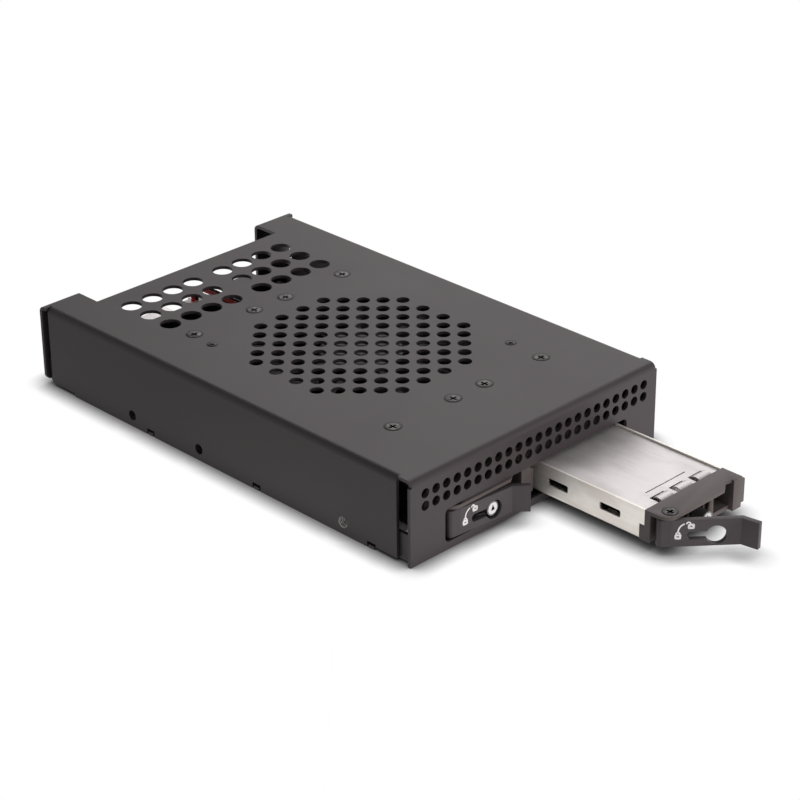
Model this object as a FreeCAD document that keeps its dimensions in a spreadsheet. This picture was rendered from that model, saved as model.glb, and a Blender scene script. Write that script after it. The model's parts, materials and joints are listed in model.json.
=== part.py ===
import FreeCAD, Part
import math
import os
import re

import Sketcher
from FreeCAD import Placement, Rotation, Vector

# Two-tray drive cage for a 3.5-inch bay, in millimetres.
# X runs to the right seen from the front, Y to the rear, Z up.
# The origin is the middle of the footprint, on the underside of the base pan.
# Distances called "from the front" are measured from the outer face of the front panel.

DRIVING_SIZES = {
    "cage_width": 100.0,
    "cage_height": 26.0,
    "cage_length": 156.0,
    "inner_offset": -0.75,
    # folded cover
    "cover_sheet": 1.0,
    "bend_radius": 2.0,
    "side_front_gap": 5.2,
    "right_front_gap": 3.0,
    "side_rear_gap": 1.6,
    "corner_relief": 0.6,
    "ear_width": 13.6,
    "ear_length": 8.5,
    "ear_overhang": 1.8,
    "flange_overhang": 0.4,
    "flange_lift": 1.3,
    "flange_corner": 1.8,
    "side_lift": 1.1,
    "side_lift_front": 13.6,
    "side_lift_rear": 12.3,
    "window_left": 36.8,
    "window_right": 37.4,
    "window_floor": 2.3,
    "window_top": 12.75,
    "window_corner": 1.6,
    # vents in the cover
    "front_vent_diameter": 2.9,
    "front_vent_pitch": 4.03,
    "front_vent_margin": 5.5,
    "front_vent_low": 17.0,
    "front_vent_rise": 3.8,
    "fan_vent_diameter": 4.1,
    "fan_vent_spacing": 6.0,
    "fan_vent_reach": 5,
    "fan_vent_corner": 7,
    "rear_vent_diameter": 6.4,
    "rear_vent_across": 8.1,
    "rear_vent_along": 9.05,
    "rear_vent_columns": 4,
    "rear_vent_from_front": 128.6,
    # fasteners of the cover
    "front_screw_row": 26.0,
    "rear_screw_row": 109.1,
    "screw_spread": 23.6,
    "screw_head": 5.0,
    "screw_shank": 3.0,
    "screw_length": 7.0,
    "screw_clearance": 0.05,
    "sink_clearance": 0.15,
    "standoff_diameter": 5.0,
    "fan_screw_head": 3.2,
    "fan_screw_shank": 1.8,
    "fan_screw_length": 6.0,
    # side fastening holes and base tabs
    "side_hole_first": 26.1,
    "side_hole_long_step": 60.0,
    "side_hole_short_step": 30.0,
    "side_hole_height": 3.7,
    "side_hole_diameter": 3.2,
    "thread_hole_diameter": 2.5,
    "tab_first": 15.0,
    "tab_pitch": 46.4,
    "tab_width": 2.0,
    "tab_clearance": 0.7,
    "tab_relief": 9.0,
    "tab_slot_height": 1.9,
    # base pan
    "pan_sheet": 1.0,
    "pan_bend": 1.6,
    "pan_flange": 9.0,
    "pan_clearance": 0.1,
    "pan_end_gap": 0.3,
    # tray bays
    "bay_pitch": 36.3,
    "bay_sheet": 0.8,
    "bay_bend": 1.2,
    "bay_front": 9.2,
    "bay_rear": 130.5,
    "bay_side_clearance": 0.3,
    "bay_top_clearance": 0.4,
    "runner_width": 3.0,
    "deck_opening_front": 34.0,
    "deck_opening_rear": 103.0,
    "deck_ledge": 1.8,
    "foot_reach": 4.0,
    "foot_length": 6.0,
    "foot_front": 13.0,
    "foot_rear": 112.0,
    # trays
    "tray_width": 32.6,
    "tray_bottom": 2.7,
    "tray_height": 9.6,
    "tray_sheet": 0.6,
    "tray_bend": 1.0,
    "tray_front": 7.85,
    "tray_rear": 127.0,
    "tray_slot_length": 7.4,
    "tray_slot_height": 2.2,
    "tray_slot_pitch": 19.0,
    "tray_slot_first": 20.0,
    "tray_slot_level": 7.5,
    "tray_slots": 4,
    "lid_drop": 0.6,
    "lid_clearance": 0.1,
    "lid_slit_width": 0.4,
    "lid_slit_length": 16.6,
    "lid_slit_from_front": 6.3,
    "finger_width": 4.4,
    "finger_pitch": 8.0,
    "finger_count": 3,
    "finger_shift": 1.3,
    "finger_depth": 3.5,
    "finger_rise": 0.7,
    "finger_sheet": 0.35,
    "finger_gap": 0.9,
    "left_tray_pull": 0.0,
    "right_tray_pull": 45.35,
    # tray electronics
    "board_thickness": 1.2,
    "board_width": 23.0,
    "board_lift": 1.1,
    "board_front": 20.0,
    "tongue_width": 21.0,
    "tongue_length": 10.6,
    "post_diameter": 4.0,
    "drive_socket_length": 8.5,
    "drive_socket_height": 4.2,
    "drive_socket_front": 100.0,
    "drive_length": 80.0,
    "drive_post_height": 2.0,
    "pad_thickness": 0.8,
    "pad_width": 20.0,
    # bezel and lever
    "bezel_depth": 8.3,
    "bezel_overhang": 0.3,
    "bezel_top": 1.0,
    "bezel_base": 1.3,
    "bezel_back": 1.95,
    "bezel_column": 3.6,
    "bezel_end_step": 1.3,
    "bezel_relief": 5.6,
    "bezel_relief_slope": 3.7,
    "bezel_round": 3.9,
    "hook_reach": 1.2,
    "lug_length": 1.6,
    "lug_height": 4.7,
    "lug_clearance": 0.1,
    "pivot_from_left": 4.0,
    "pivot_from_front": 2.45,
    "pivot_boss": 5.6,
    "pivot_ear": 3.9,
    "pivot_shank": 3.0,
    "pivot_head": 4.8,
    "pivot_running_gap": 0.03,
    "lever_sheet": 1.6,
    "lever_setback": 2.75,
    "lever_tail": 3.7,
    "lever_reach": 19.0,
    "lever_bottom": 2.95,
    "lever_height": 8.05,
    "lever_play": 0.15,
    "lever_tail_round": 1.4,
    "lever_tail_back": 0.2,
    "grip_length": 5.1,
    "grip_angle": 39.0,
    "left_lever_angle": 4.8,
    "right_lever_angle": 41.3,
    "keyhole_round": 5.7,
    "keyhole_slot": 2.4,
    "keyhole_slot_length": 8.0,
    "lock_level": 6.2,
    "lock_from_left": 16.3,
    "lock_barrel": 4.4,
    "lock_journal": 3.0,
    "lock_boss": 6.8,
    "lock_recess": 0.7,
    "catch_post": 2.2,
    "catch_post_offset": 4.6,
    # fan
    "fan_size": 70.0,
    "fan_floor_gap": 1.5,
    "fan_from_front": 69.4,
    "fan_corner": 3.0,
    "fan_bore": 66.6,
    "fan_screw_spacing": 61.5,
    "fan_hub": 26.0,
    "fan_hub_wall": 1.2,
    "hub_floor_gap": 0.6,
    "fan_top_gap": 0.8,
    "fan_blades": 9,
    "fan_tip_gap": 0.9,
    "blade_thickness": 0.9,
    "blade_root_sweep": 3.2,
    "blade_tip_sweep": 5.4,
    "strut_width": 4.0,
    "strut_depth": 1.4,
    "bearing_diameter": 5.2,
    "bearing_wall": 1.2,
    "shaft_diameter": 2.0,
    "shaft_running_gap": 0.03,
    # backplane
    "backplane_from_front": 140.0,
    "backplane_thickness": 1.6,
    "backplane_width": 67.0,
    "backplane_lift": 0.3,
    "backplane_height": 15.2,
    "bracket_width": 6.0,
    "bracket_height": 14.0,
    "bracket_spread": 60.0,
    "bracket_screw_level": 11.0,
    "socket_width": 25.0,
    "socket_depth": 8.6,
    "socket_wall": 2.0,
    "socket_clearance": 0.3,
    "port_width": 13.0,
    "port_height": 5.6,
    "port_length": 11.0,
    "port_wall": 0.7,
    "port_level": 9.6,
    "left_port_x": -12.0,
    "right_port_x": 9.4,
    "tongue_thickness": 1.0,
    "inlet_width": 10.0,
    "inlet_height": 7.0,
    "inlet_length": 10.0,
    "inlet_wall": 1.3,
    "inlet_x": 21.6,
    "inlet_level": 9.6,
    # fan lead
    "wire_diameter": 1.3,
    "wire_spread": 1.5,
    "wire_level": 21.6,
    "wire_bend": 4.2,
    "lead_x": -1.4,
    "plug_width": 6.0,
    "plug_depth": 4.2,
    "plug_height": 5.0,
    "header_height": 5.0,
    "header_bottom": 6.0,
}

doc = FreeCAD.newDocument("drive_cage")
sheet = doc.addObject("Spreadsheet::Sheet", "Sizes")
for row, (alias, number) in enumerate(DRIVING_SIZES.items(), start=1):
    sheet.set("A%d" % row, alias)
    sheet.set("B%d" % row, str(number))
    sheet.setAlias("B%d" % row, alias)

# Places worked out from the driving sizes; each may use the ones above it.
DERIVED_SIZES = {
    "front_y": "-cage_length / 2",
    "rear_y": "cage_length / 2",
    "half_width": "cage_width / 2",
    "cover_inside_top": "cage_height - cover_sheet",
    "side_front_y": "front_y + side_front_gap",
    "side_rear_y": "rear_y - side_rear_gap",
    "notch_y": "rear_y - ear_length",
    "ear_rear_y": "rear_y + ear_overhang",
    "ear_inner_x": "half_width - ear_width",
    "fan_y": "front_y + fan_from_front",
    "front_row_y": "front_y + front_screw_row",
    "rear_row_y": "front_y + rear_screw_row",
    "rear_vent_y": "front_y + rear_vent_from_front",
    "pan_half": "half_width - cover_sheet - pan_clearance",
    "pan_front_y": "front_y + cover_sheet + pan_end_gap",
    "pan_rear_y": "ear_rear_y - cover_sheet - pan_end_gap",
    "tray_half": "tray_width / 2",
    "tray_top": "tray_bottom + tray_height",
    "tray_inside_floor": "tray_bottom + tray_sheet",
    "lid_top": "tray_top - lid_drop",
    "lid_bottom": "lid_top - tray_sheet",
    "bay_inside": "tray_half + bay_side_clearance",
    "bay_outside": "bay_inside + bay_sheet",
    "deck_bottom": "tray_top + bay_top_clearance",
    "deck_top": "deck_bottom + bay_sheet",
    "runner_top": "tray_bottom - bay_side_clearance",
    "runner_bottom": "runner_top - bay_sheet",
    "bay_front_y": "front_y + bay_front",
    "bay_rear_y": "front_y + bay_rear",
    "board_bottom": "tray_inside_floor + board_lift",
    "board_top": "board_bottom + board_thickness",
    "tongue_rear": "tray_rear + tongue_length",
    "bezel_front": "tray_front - bezel_depth",
    "bezel_right": "tray_half + bezel_overhang",
    "bezel_base_top": "tray_bottom + bezel_base",
    "bezel_top_bottom": "tray_top - bezel_top",
    "bezel_back_face": "tray_front - bezel_back",
    "pivot_x": "pivot_from_left - tray_half",
    "lock_x": "lock_from_left - tray_half",
    "lever_top": "lever_bottom + lever_height",
    "lever_boss_bottom": "bezel_base_top + lever_play",
    "front_vent_columns": "trunc((cage_width - 2 * front_vent_margin) / front_vent_pitch) + 1",
    "finger_radius": "(finger_depth^2 / 4 + finger_rise^2) / (2 * finger_rise)",
    "fan_top": "cover_inside_top",
    "fan_depth": "fan_top - deck_top - fan_floor_gap",
    "fan_bottom": "fan_top - fan_depth",
    "hub_top": "fan_top - fan_top_gap",
    "hub_bottom": "fan_bottom + strut_depth + hub_floor_gap",
    "blade_tip_radius": "fan_bore / 2 - fan_tip_gap",
    "backplane_front_y": "front_y + backplane_from_front",
    "backplane_rear_y": "backplane_front_y + backplane_thickness",
    "backplane_bottom": "pan_sheet + backplane_lift",
    "backplane_top": "backplane_bottom + backplane_height",
    "socket_middle": "board_bottom + board_thickness / 2",
    "header_top": "header_bottom + header_height",
    "plug_top": "header_top + plug_height",
    "plug_middle_y": "backplane_rear_y + plug_depth / 2",
}
first_derived_row = len(DRIVING_SIZES) + 1
for row, (alias, formula) in enumerate(DERIVED_SIZES.items(), start=first_derived_row):
    sheet.set("A%d" % row, alias)
    sheet.set("B%d" % row, "=" + formula)
    sheet.setAlias("B%d" % row, alias)
doc.recompute()

WORD = re.compile(r"[a-z][a-z_]*")
PARTS = []


def bound(text):
    """Expression text with every sheet alias written as a reference to its cell."""
    def cell(match):
        word = match.group()
        known = word in DRIVING_SIZES or word in DERIVED_SIZES
        return "Sizes." + word if known else word
    return WORD.sub(cell, text)


def value(text):
    """Number that an expression on the sheet gives now."""
    return float(sheet.evalExpression(bound(text)))


def keep(sub_part):
    """Lists a finished sub-part for writing."""
    PARTS.append(sub_part)
    return sub_part


def new_body(label):
    body = doc.addObject("PartDesign::Body", label)
    body.Label = label
    return body


def place(sub_part, x="0", y="0", z="0", turn=0.0):
    """Puts a sub-part at a place bound to the sheet, turned about Z by a number of degrees."""
    sub_part.Placement = Placement(Vector(0, 0, 0), Rotation(Vector(0, 0, 1), turn))
    for axis, text in zip("xyz", (x, y, z)):
        sub_part.setExpression("Placement.Base." + axis, bound(text))
    return sub_part


def new_sketch(body, name, role, level):
    """Sketch on one of the body's own planes, moved along +Z, +X or +Y to a level."""
    plane = [item for item in body.Origin.OriginFeatures if item.Role == role][0]
    sketch = body.newObject("Sketcher::SketchObject", name)
    sketch.AttachmentSupport = [(plane, "")]
    sketch.MapMode = "FlatFace"
    along = "-(%s)" % level if role == "XZ_Plane" else level
    sketch.setExpression("AttachmentOffset.Base.z", bound(along))
    return sketch


def fix_point(sketch, kind, geometry, end, text):
    """Holds one coordinate of a point at a distance from the origin."""
    number = value(text)
    if abs(number) < 1e-9:
        axis = -2 if kind == "DistanceX" else -1
        sketch.addConstraint(Sketcher.Constraint("PointOnObject", geometry, end, axis))
        return
    index = sketch.addConstraint(Sketcher.Constraint(kind, -1, 1, geometry, end, number))
    sketch.setExpression("Constraints[%d]" % index, bound(text))


def draw_circle(sketch, x, y, diameter):
    circle = Part.Circle(Vector(value(x), value(y), 0), Vector(0, 0, 1), value(diameter) / 2)
    index = sketch.addGeometry(circle, False)
    radius = sketch.addConstraint(Sketcher.Constraint("Diameter", index, value(diameter)))
    sketch.setExpression("Constraints[%d]" % radius, bound(diameter))
    fix_point(sketch, "DistanceX", index, 3, x)
    fix_point(sketch, "DistanceY", index, 3, y)


def draw_outline(sketch, corners):
    """Closed outline of straight runs; a corner with a third entry is rounded by that radius."""
    count = len(corners)
    spots = [Vector(value(corner[0]), value(corner[1]), 0) for corner in corners]
    radii = [value(corner[2]) if len(corner) > 2 else 0.0 for corner in corners]

    def tangent_point(here, other):
        heading = (spots[other] - spots[here]).normalize()
        before = (spots[here - 1] - spots[here]).normalize()
        after = (spots[(here + 1) % count] - spots[here]).normalize()
        half_turn = before.getAngle(after) / 2
        return spots[here] + heading * (radii[here] / math.tan(half_turn))

    lines = []
    for here in range(count):
        there = (here + 1) % count
        run = Part.LineSegment(tangent_point(here, there), tangent_point(there, here))
        lines.append(sketch.addGeometry(run, False))
    upright = [corners[here][0] == corners[(here + 1) % count][0] for here in range(count)]
    level = [corners[here][1] == corners[(here + 1) % count][1] for here in range(count)]
    for here in range(count):
        before, after = lines[here - 1], lines[here]
        if radii[here] == 0.0:
            sketch.addConstraint(Sketcher.Constraint("Coincident", before, 2, after, 1))
            continue
        start, end = tangent_point(here, here - 1), tangent_point(here, (here + 1) % count)
        inward = ((start - spots[here]) + (end - spots[here])).normalize()
        centre_gap = math.hypot(start.distanceToPoint(spots[here]), radii[here])
        middle = spots[here] + inward * (centre_gap - radii[here])
        left_turn = (spots[here] - start).cross(end - spots[here]).z > 0
        ends = (1, 2) if left_turn else (2, 1)
        first, last = (start, end) if left_turn else (end, start)
        arc = sketch.addGeometry(Part.Arc(first, middle, last), False)
        radius = sketch.addConstraint(Sketcher.Constraint("Radius", arc, radii[here]))
        sketch.setExpression("Constraints[%d]" % radius, bound(corners[here][2]))
        for line, line_end, arc_end, line_upright in (
                (before, 2, ends[0], upright[here - 1]), (after, 1, ends[1], upright[here])):
            sketch.addConstraint(Sketcher.Constraint("Coincident", line, line_end, arc, arc_end))
            square = "Horizontal" if line_upright else "Vertical"
            sketch.addConstraint(Sketcher.Constraint(square, line, line_end, arc, 3))
    for here in range(count):
        if upright[here]:
            sketch.addConstraint(Sketcher.Constraint("Vertical", lines[here]))
            fix_point(sketch, "DistanceX", lines[here], 1, corners[here][0])
        elif level[here]:
            sketch.addConstraint(Sketcher.Constraint("Horizontal", lines[here]))
            fix_point(sketch, "DistanceY", lines[here], 1, corners[here][1])
    for here in range(count):
        if radii[here] > 0.0:
            continue
        if not (upright[here - 1] or upright[here]):
            fix_point(sketch, "DistanceX", lines[here], 1, corners[here][0])
        if not (level[here - 1] or level[here]):
            fix_point(sketch, "DistanceY", lines[here], 1, corners[here][1])


def draw(sketch, shapes):
    """Draws circles (x, y, diameter as a tuple) and outlines (lists of corners)."""
    for shape in shapes:
        if isinstance(shape, tuple):
            draw_circle(sketch, *shape)
        else:
            draw_outline(sketch, shape)


def rectangle(left, right, low, high, corner=None):
    spots = [(left, low), (right, low), (right, high), (left, high)]
    if corner is None:
        return spots
    return [spot + (corner,) for spot in spots]


def add(body, name, role, shapes, low, high):
    """Pads shapes drawn on a plane from one level to a higher one."""
    start = high if role == "XZ_Plane" else low
    sketch = new_sketch(body, name + "_sketch", role, start)
    draw(sketch, shapes)
    pad = body.newObject("PartDesign::Pad", name)
    pad.Profile = sketch
    pad.setExpression("Length", bound("(%s) - (%s)" % (high, low)))
    body.Tip = pad
    return pad


def cut(body, name, role, shapes, low, high):
    """Pockets shapes drawn on a plane between two levels."""
    start = low if role == "XZ_Plane" else high
    sketch = new_sketch(body, name + "_sketch", role, start)
    draw(sketch, shapes)
    pocket = body.newObject("PartDesign::Pocket", name)
    pocket.Profile = sketch
    pocket.setExpression("Length", bound("(%s) - (%s)" % (high, low)))
    body.Tip = pocket
    return pocket


def spread(body, name, feature, axis, pitch, count):
    """Repeats a feature along one axis of its sketch."""
    pattern = body.newObject("PartDesign::LinearPattern", name)
    pattern.Originals = [feature]
    pattern.Direction = (feature.Profile[0], [axis])
    pattern.setExpression("Length", bound("(%s) * (%s - 1)" % (pitch, count)))
    pattern.setExpression("Occurrences", bound(count))
    body.Tip = pattern
    return pattern


def turned(body, name, corners):
    """Revolves a profile of radius and height about Z."""
    sketch = new_sketch(body, name + "_sketch", "XZ_Plane", "0")
    draw_outline(sketch, corners)
    revolution = body.newObject("PartDesign::Revolution", name)
    revolution.Profile = sketch
    revolution.ReferenceAxis = (sketch, ["V_Axis"])
    revolution.Angle = 360
    body.Tip = revolution
    return revolution


def group(label, pattern_piece, spots):
    """One node with a copy of a piece at each spot, as separate solids."""
    doc.recompute()
    copies = []
    for x, y, z in spots:
        copy = pattern_piece.Shape.copy()
        copy.translate(Vector(value(x), value(y), value(z)))
        copies.append(copy)
    node = doc.addObject("Part::Feature", label)
    node.Label = label
    node.Shape = Part.makeCompound(copies)
    return keep(node)


def box(label, x_span, y_span, z_span):
    """Plain block between bound limits."""
    block = doc.addObject("Part::Box", label)
    block.Label = label
    names = ("Length", "Width", "Height")
    for name, axis, (low, high) in zip(names, "xyz", (x_span, y_span, z_span)):
        block.setExpression(name, bound("(%s) - (%s)" % (high, low)))
        block.setExpression("Placement.Base." + axis, bound(low))
    return block


def about(centre, width):
    """Low and high limit of a width centred on a place."""
    return "%s - (%s) / 2" % (centre, width), "%s + (%s) / 2" % (centre, width)


SIDES = {"left": "-1", "right": "1"}


def bay_x(side):
    return "inner_offset + %s * bay_pitch / 2" % SIDES[side]


def screw_spots(z):
    """Places of the eight screws that hold the two bays under the cover."""
    spots = []
    for row in ("front_row_y", "rear_row_y"):
        for side in SIDES:
            for half in ("-1", "1"):
                spots.append(("%s + %s * screw_spread / 2" % (bay_x(side), half), row, z))
    return spots


def fan_screw_spots(z):
    """Places of the two screws on one diagonal of the fan."""
    half = "fan_screw_spacing / 2"
    return [("inner_offset - " + half, "fan_y + " + half, z),
            ("inner_offset + " + half, "fan_y - " + half, z)]


def fan_vent_spots():
    """Diagonal lattice of round vents, with its four tips cut off."""
    reach = int(value("fan_vent_reach"))
    corner = int(value("fan_vent_corner"))
    spots = []
    for i in range(-reach, reach + 1):
        for j in range(-reach, reach + 1):
            if abs(i) + abs(j) <= corner:
                spots.append((i - j, i + j))
    return spots


def make_top_cover():
    body = new_body("folded_cover")
    flat = "half_width - bend_radius"
    inner_radius = "bend_radius - cover_sheet"
    inside = "half_width - cover_sheet"
    add(body, "cover_sides", "XZ_Plane", [[
        ("-(half_width)", "0"), ("-(%s)" % inside, "0"),
        ("-(%s)" % inside, "cover_inside_top", inner_radius),
        (inside, "cover_inside_top", inner_radius), (inside, "0"),
        ("half_width", "0"), ("half_width", "cage_height", "bend_radius"),
        ("-(half_width)", "cage_height", "bend_radius"),
    ]], "side_front_y", "side_rear_y")
    top_front = "front_y + bend_radius"
    top_rear = "ear_rear_y - bend_radius"
    left, right = "-(%s)" % flat, flat
    corner_right = "half_width - corner_relief"
    corner_left = "-(%s)" % corner_right
    add(body, "cover_top", "XY_Plane", [[
        (corner_left, top_front), (corner_right, top_front), (corner_right, "side_front_y"),
        (right, "side_front_y"), (right, top_rear), (left, top_rear), (left, "side_front_y"),
        (corner_left, "side_front_y"),
    ]], "cover_inside_top", "cage_height")
    through_top = ("cover_inside_top - cover_sheet", "cage_height + cover_sheet")
    cut(body, "rear_notch", "XY_Plane",
        [rectangle("-ear_inner_x", "ear_inner_x", "notch_y", "ear_rear_y")], *through_top)
    add(body, "cover_front_bend", "YZ_Plane", [[
        ("front_y", "cover_inside_top - bend_radius"), ("front_y", "cage_height", "bend_radius"),
        ("front_y + bend_radius + cover_sheet", "cage_height"),
        ("front_y + bend_radius + cover_sheet", "cover_inside_top"),
        ("front_y + cover_sheet", "cover_inside_top", inner_radius),
        ("front_y + cover_sheet", "cover_inside_top - bend_radius"),
    ]], corner_left, corner_right)
    bend_foot = "cage_height - bend_radius"
    add(body, "cover_panel", "XZ_Plane",
        [rectangle("-half_width", "half_width", "0", bend_foot)], "front_y", "front_y + cover_sheet")
    add(body, "right_wall_front", "XZ_Plane", [rectangle(inside, "half_width", "side_lift", bend_foot)],
        "front_y + right_front_gap", "side_front_y")
    flange_outer = "half_width + flange_overhang"
    for side, sign, low, high in (("left", "-", "-(%s)" % flange_outer, "-ear_inner_x"),
                                  ("right", "", "ear_inner_x", flange_outer)):
        add(body, side + "_ear_bend", "YZ_Plane", [[
            ("ear_rear_y", "cover_inside_top - bend_radius"), ("ear_rear_y", "cage_height", "bend_radius"),
            ("ear_rear_y - bend_radius - cover_sheet", "cage_height"),
            ("ear_rear_y - bend_radius - cover_sheet", "cover_inside_top"),
            ("ear_rear_y - cover_sheet", "cover_inside_top", inner_radius),
            ("ear_rear_y - cover_sheet", "cover_inside_top - bend_radius"),
        ]], low, high)
        outer_x = "%s(%s)" % (sign, flange_outer)
        inner_x = "%sear_inner_x" % sign
        add(body, side + "_ear_flange", "XZ_Plane", [[
            (inner_x, "flange_lift"), (outer_x, "flange_lift", "flange_corner"),
            (outer_x, bend_foot), (inner_x, bend_foot),
        ]], "ear_rear_y - cover_sheet", "ear_rear_y")
    through_panel = ("front_y - cover_sheet", "front_y + 2 * cover_sheet")
    cut(body, "tray_window", "XZ_Plane",
        [rectangle("-window_left", "window_right", "window_floor", "window_top", "window_corner")],
        *through_panel)
    first_column = "-front_vent_pitch * (front_vent_columns - 1) / 2"
    vents = cut(body, "front_vent", "XZ_Plane", [
        (first_column, "front_vent_low", "front_vent_diameter"),
        (first_column, "front_vent_low + front_vent_rise", "front_vent_diameter"),
    ], *through_panel)
    spread(body, "front_vents", vents, "H_Axis", "front_vent_pitch", "front_vent_columns")
    step = "fan_vent_spacing / sqrt(2)"
    cut(body, "fan_vents", "XY_Plane", [
        ("inner_offset + %d * %s" % (across, step), "fan_y + %d * %s" % (along, step), "fan_vent_diameter")
        for across, along in fan_vent_spots()
    ], *through_top)
    rear_first = "rear_vent_across * (rear_vent_columns - 1) / 2"
    rear = cut(body, "rear_vent", "XY_Plane", [
        ("%s - %s" % (bay_x(side), rear_first), "rear_vent_y + %s * rear_vent_along" % row,
         "rear_vent_diameter")
        for side in SIDES for row in ("-1", "0", "1")
    ], *through_top)
    spread(body, "rear_vents", rear, "H_Axis", "rear_vent_across", "rear_vent_columns")
    side_hole_rows = side_hole_places()
    for side, low, high in (("left", "-half_width - cover_sheet", "-half_width + 1.5 * cover_sheet"),
                            ("right", "half_width - 1.5 * cover_sheet", "half_width + cover_sheet")):
        cut(body, side + "_side_holes", "YZ_Plane",
            [(y, "side_hole_height", "side_hole_diameter") for y in side_hole_rows], low, high)
        cut(body, side + "_raised_ends", "YZ_Plane", [
            rectangle("side_front_y - cover_sheet", "front_y + side_lift_front", "-cover_sheet", "side_lift"),
            rectangle("rear_y - side_lift_rear", "side_rear_y + cover_sheet", "-cover_sheet", "side_lift"),
        ], low, high)
        slot = rectangle(*about("front_y + tab_first", "tab_width + 2 * tab_clearance"),
                         "-cover_sheet", "tab_slot_height")
        slots = cut(body, side + "_tab_slot", "YZ_Plane", [slot], low, high)
        spread(body, side + "_tab_slots", slots, "H_Axis", "tab_pitch", "3")
    return body


def side_hole_places():
    first = "front_y + side_hole_first"
    second = first + " + side_hole_long_step"
    return first, second, second + " + side_hole_short_step"


def countersink(label, head, shank):
    """Cutter for one countersunk hole through the cover, with its top at z = 0."""
    cutter = new_body(label)
    head_radius = "%s / 2 + sink_clearance" % head
    shank_radius = "%s / 2 + screw_clearance" % shank
    depth = "(%s - %s) / 2" % (head, shank)
    turned(cutter, label + "_profile", [
        ("0", "-2 * cover_sheet"), (shank_radius, "-2 * cover_sheet"),
        (shank_radius, "-%s" % depth), (head_radius, "0"),
        (head_radius, "cover_sheet"), ("0", "cover_sheet"),
    ])
    return cutter


def countersunk_screw(label, head, shank, length):
    """Countersunk screw with a cross recess; its head lies in the plane z = 0."""
    body = new_body(label)
    depth = "(%s - %s) / 2" % (head, shank)
    turned(body, label + "_form", [
        ("0", "-(%s)" % length), ("%s / 2" % shank, "-(%s)" % length),
        ("%s / 2" % shank, "-%s" % depth), ("%s / 2" % head, "0"), ("0", "0"),
    ])
    long_half = "%s / 4" % head
    short_half = "%s / 16" % head
    recess_floor = "-%s / 8" % head
    for name, across, along in (("x", long_half, short_half), ("y", short_half, long_half)):
        cut(body, label + "_recess_" + name, "XY_Plane",
            [rectangle("-(%s)" % across, across, "-(%s)" % along, along)], recess_floor, head)
    return body


def finish_top_cover(body):
    """Takes the countersunk holes out of the folded cover."""
    cutters = group("cover_countersinks", countersink("countersink", "screw_head", "screw_shank"),
                    screw_spots("cage_height"))
    small = group("fan_countersinks",
                  countersink("small_countersink", "fan_screw_head", "fan_screw_shank"),
                  fan_screw_spots("cage_height"))
    PARTS.remove(cutters)
    PARTS.remove(small)
    all_cutters = doc.addObject("Part::Fuse", "all_countersinks")
    all_cutters.Base = cutters
    all_cutters.Tool = small
    cover = doc.addObject("Part::Cut", "top_cover")
    cover.Base = body
    cover.Tool = all_cutters
    cover.Label = "top_cover"
    return keep(cover)


def make_base_pan():
    body = new_body("base_pan")
    inner_radius = "pan_bend - pan_sheet"
    inside = "pan_half - pan_sheet"
    add(body, "pan_fold", "XZ_Plane", [[
        ("-pan_half", "0", "pan_bend"), ("pan_half", "0", "pan_bend"),
        ("pan_half", "pan_flange"), (inside, "pan_flange"),
        (inside, "pan_sheet", inner_radius), ("-(%s)" % inside, "pan_sheet", inner_radius),
        ("-(%s)" % inside, "pan_flange"), ("-pan_half", "pan_flange"),
    ]], "pan_front_y", "pan_rear_y")
    for side, sign in SIDES.items():
        wall = ("%s * pan_half - 2 * pan_sheet" % sign, "%s * pan_half + 2 * pan_sheet" % sign)
        holes = [(y, "side_hole_height", "thread_hole_diameter") for y in side_hole_places()]
        cut(body, side + "_threads", "YZ_Plane", holes, *wall)
        relief = rectangle(*about("front_y + tab_first", "tab_relief"), "pan_bend", "2 * pan_flange")
        reliefs = cut(body, side + "_tab_relief", "YZ_Plane", [relief], *wall)
        spread(body, side + "_tab_reliefs", reliefs, "H_Axis", "tab_pitch", "3")
        reach = ("pan_half - pan_bend", "half_width")
        span = reach if side == "right" else tuple("-(%s)" % limit for limit in reversed(reach))
        tab = add(body, side + "_tab", "XY_Plane",
                  [rectangle(*span, *about("front_y + tab_first", "tab_width"))], "0", "pan_sheet")
        spread(body, side + "_tabs", tab, "V_Axis", "tab_pitch", "3")
        bracket_x = "%s * bracket_spread / 2" % sign
        add(body, side + "_board_bracket", "XZ_Plane",
            [rectangle(*about(bracket_x, "bracket_width"), "pan_sheet / 2", "bracket_height")],
            "backplane_rear_y", "backplane_rear_y + pan_sheet")
        cut(body, side + "_bracket_thread", "XZ_Plane",
            [(bracket_x, "bracket_screw_level", "screw_shank + 2 * screw_clearance")],
            "backplane_rear_y - pan_sheet", "backplane_rear_y + 2 * pan_sheet")
    return keep(body)


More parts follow.
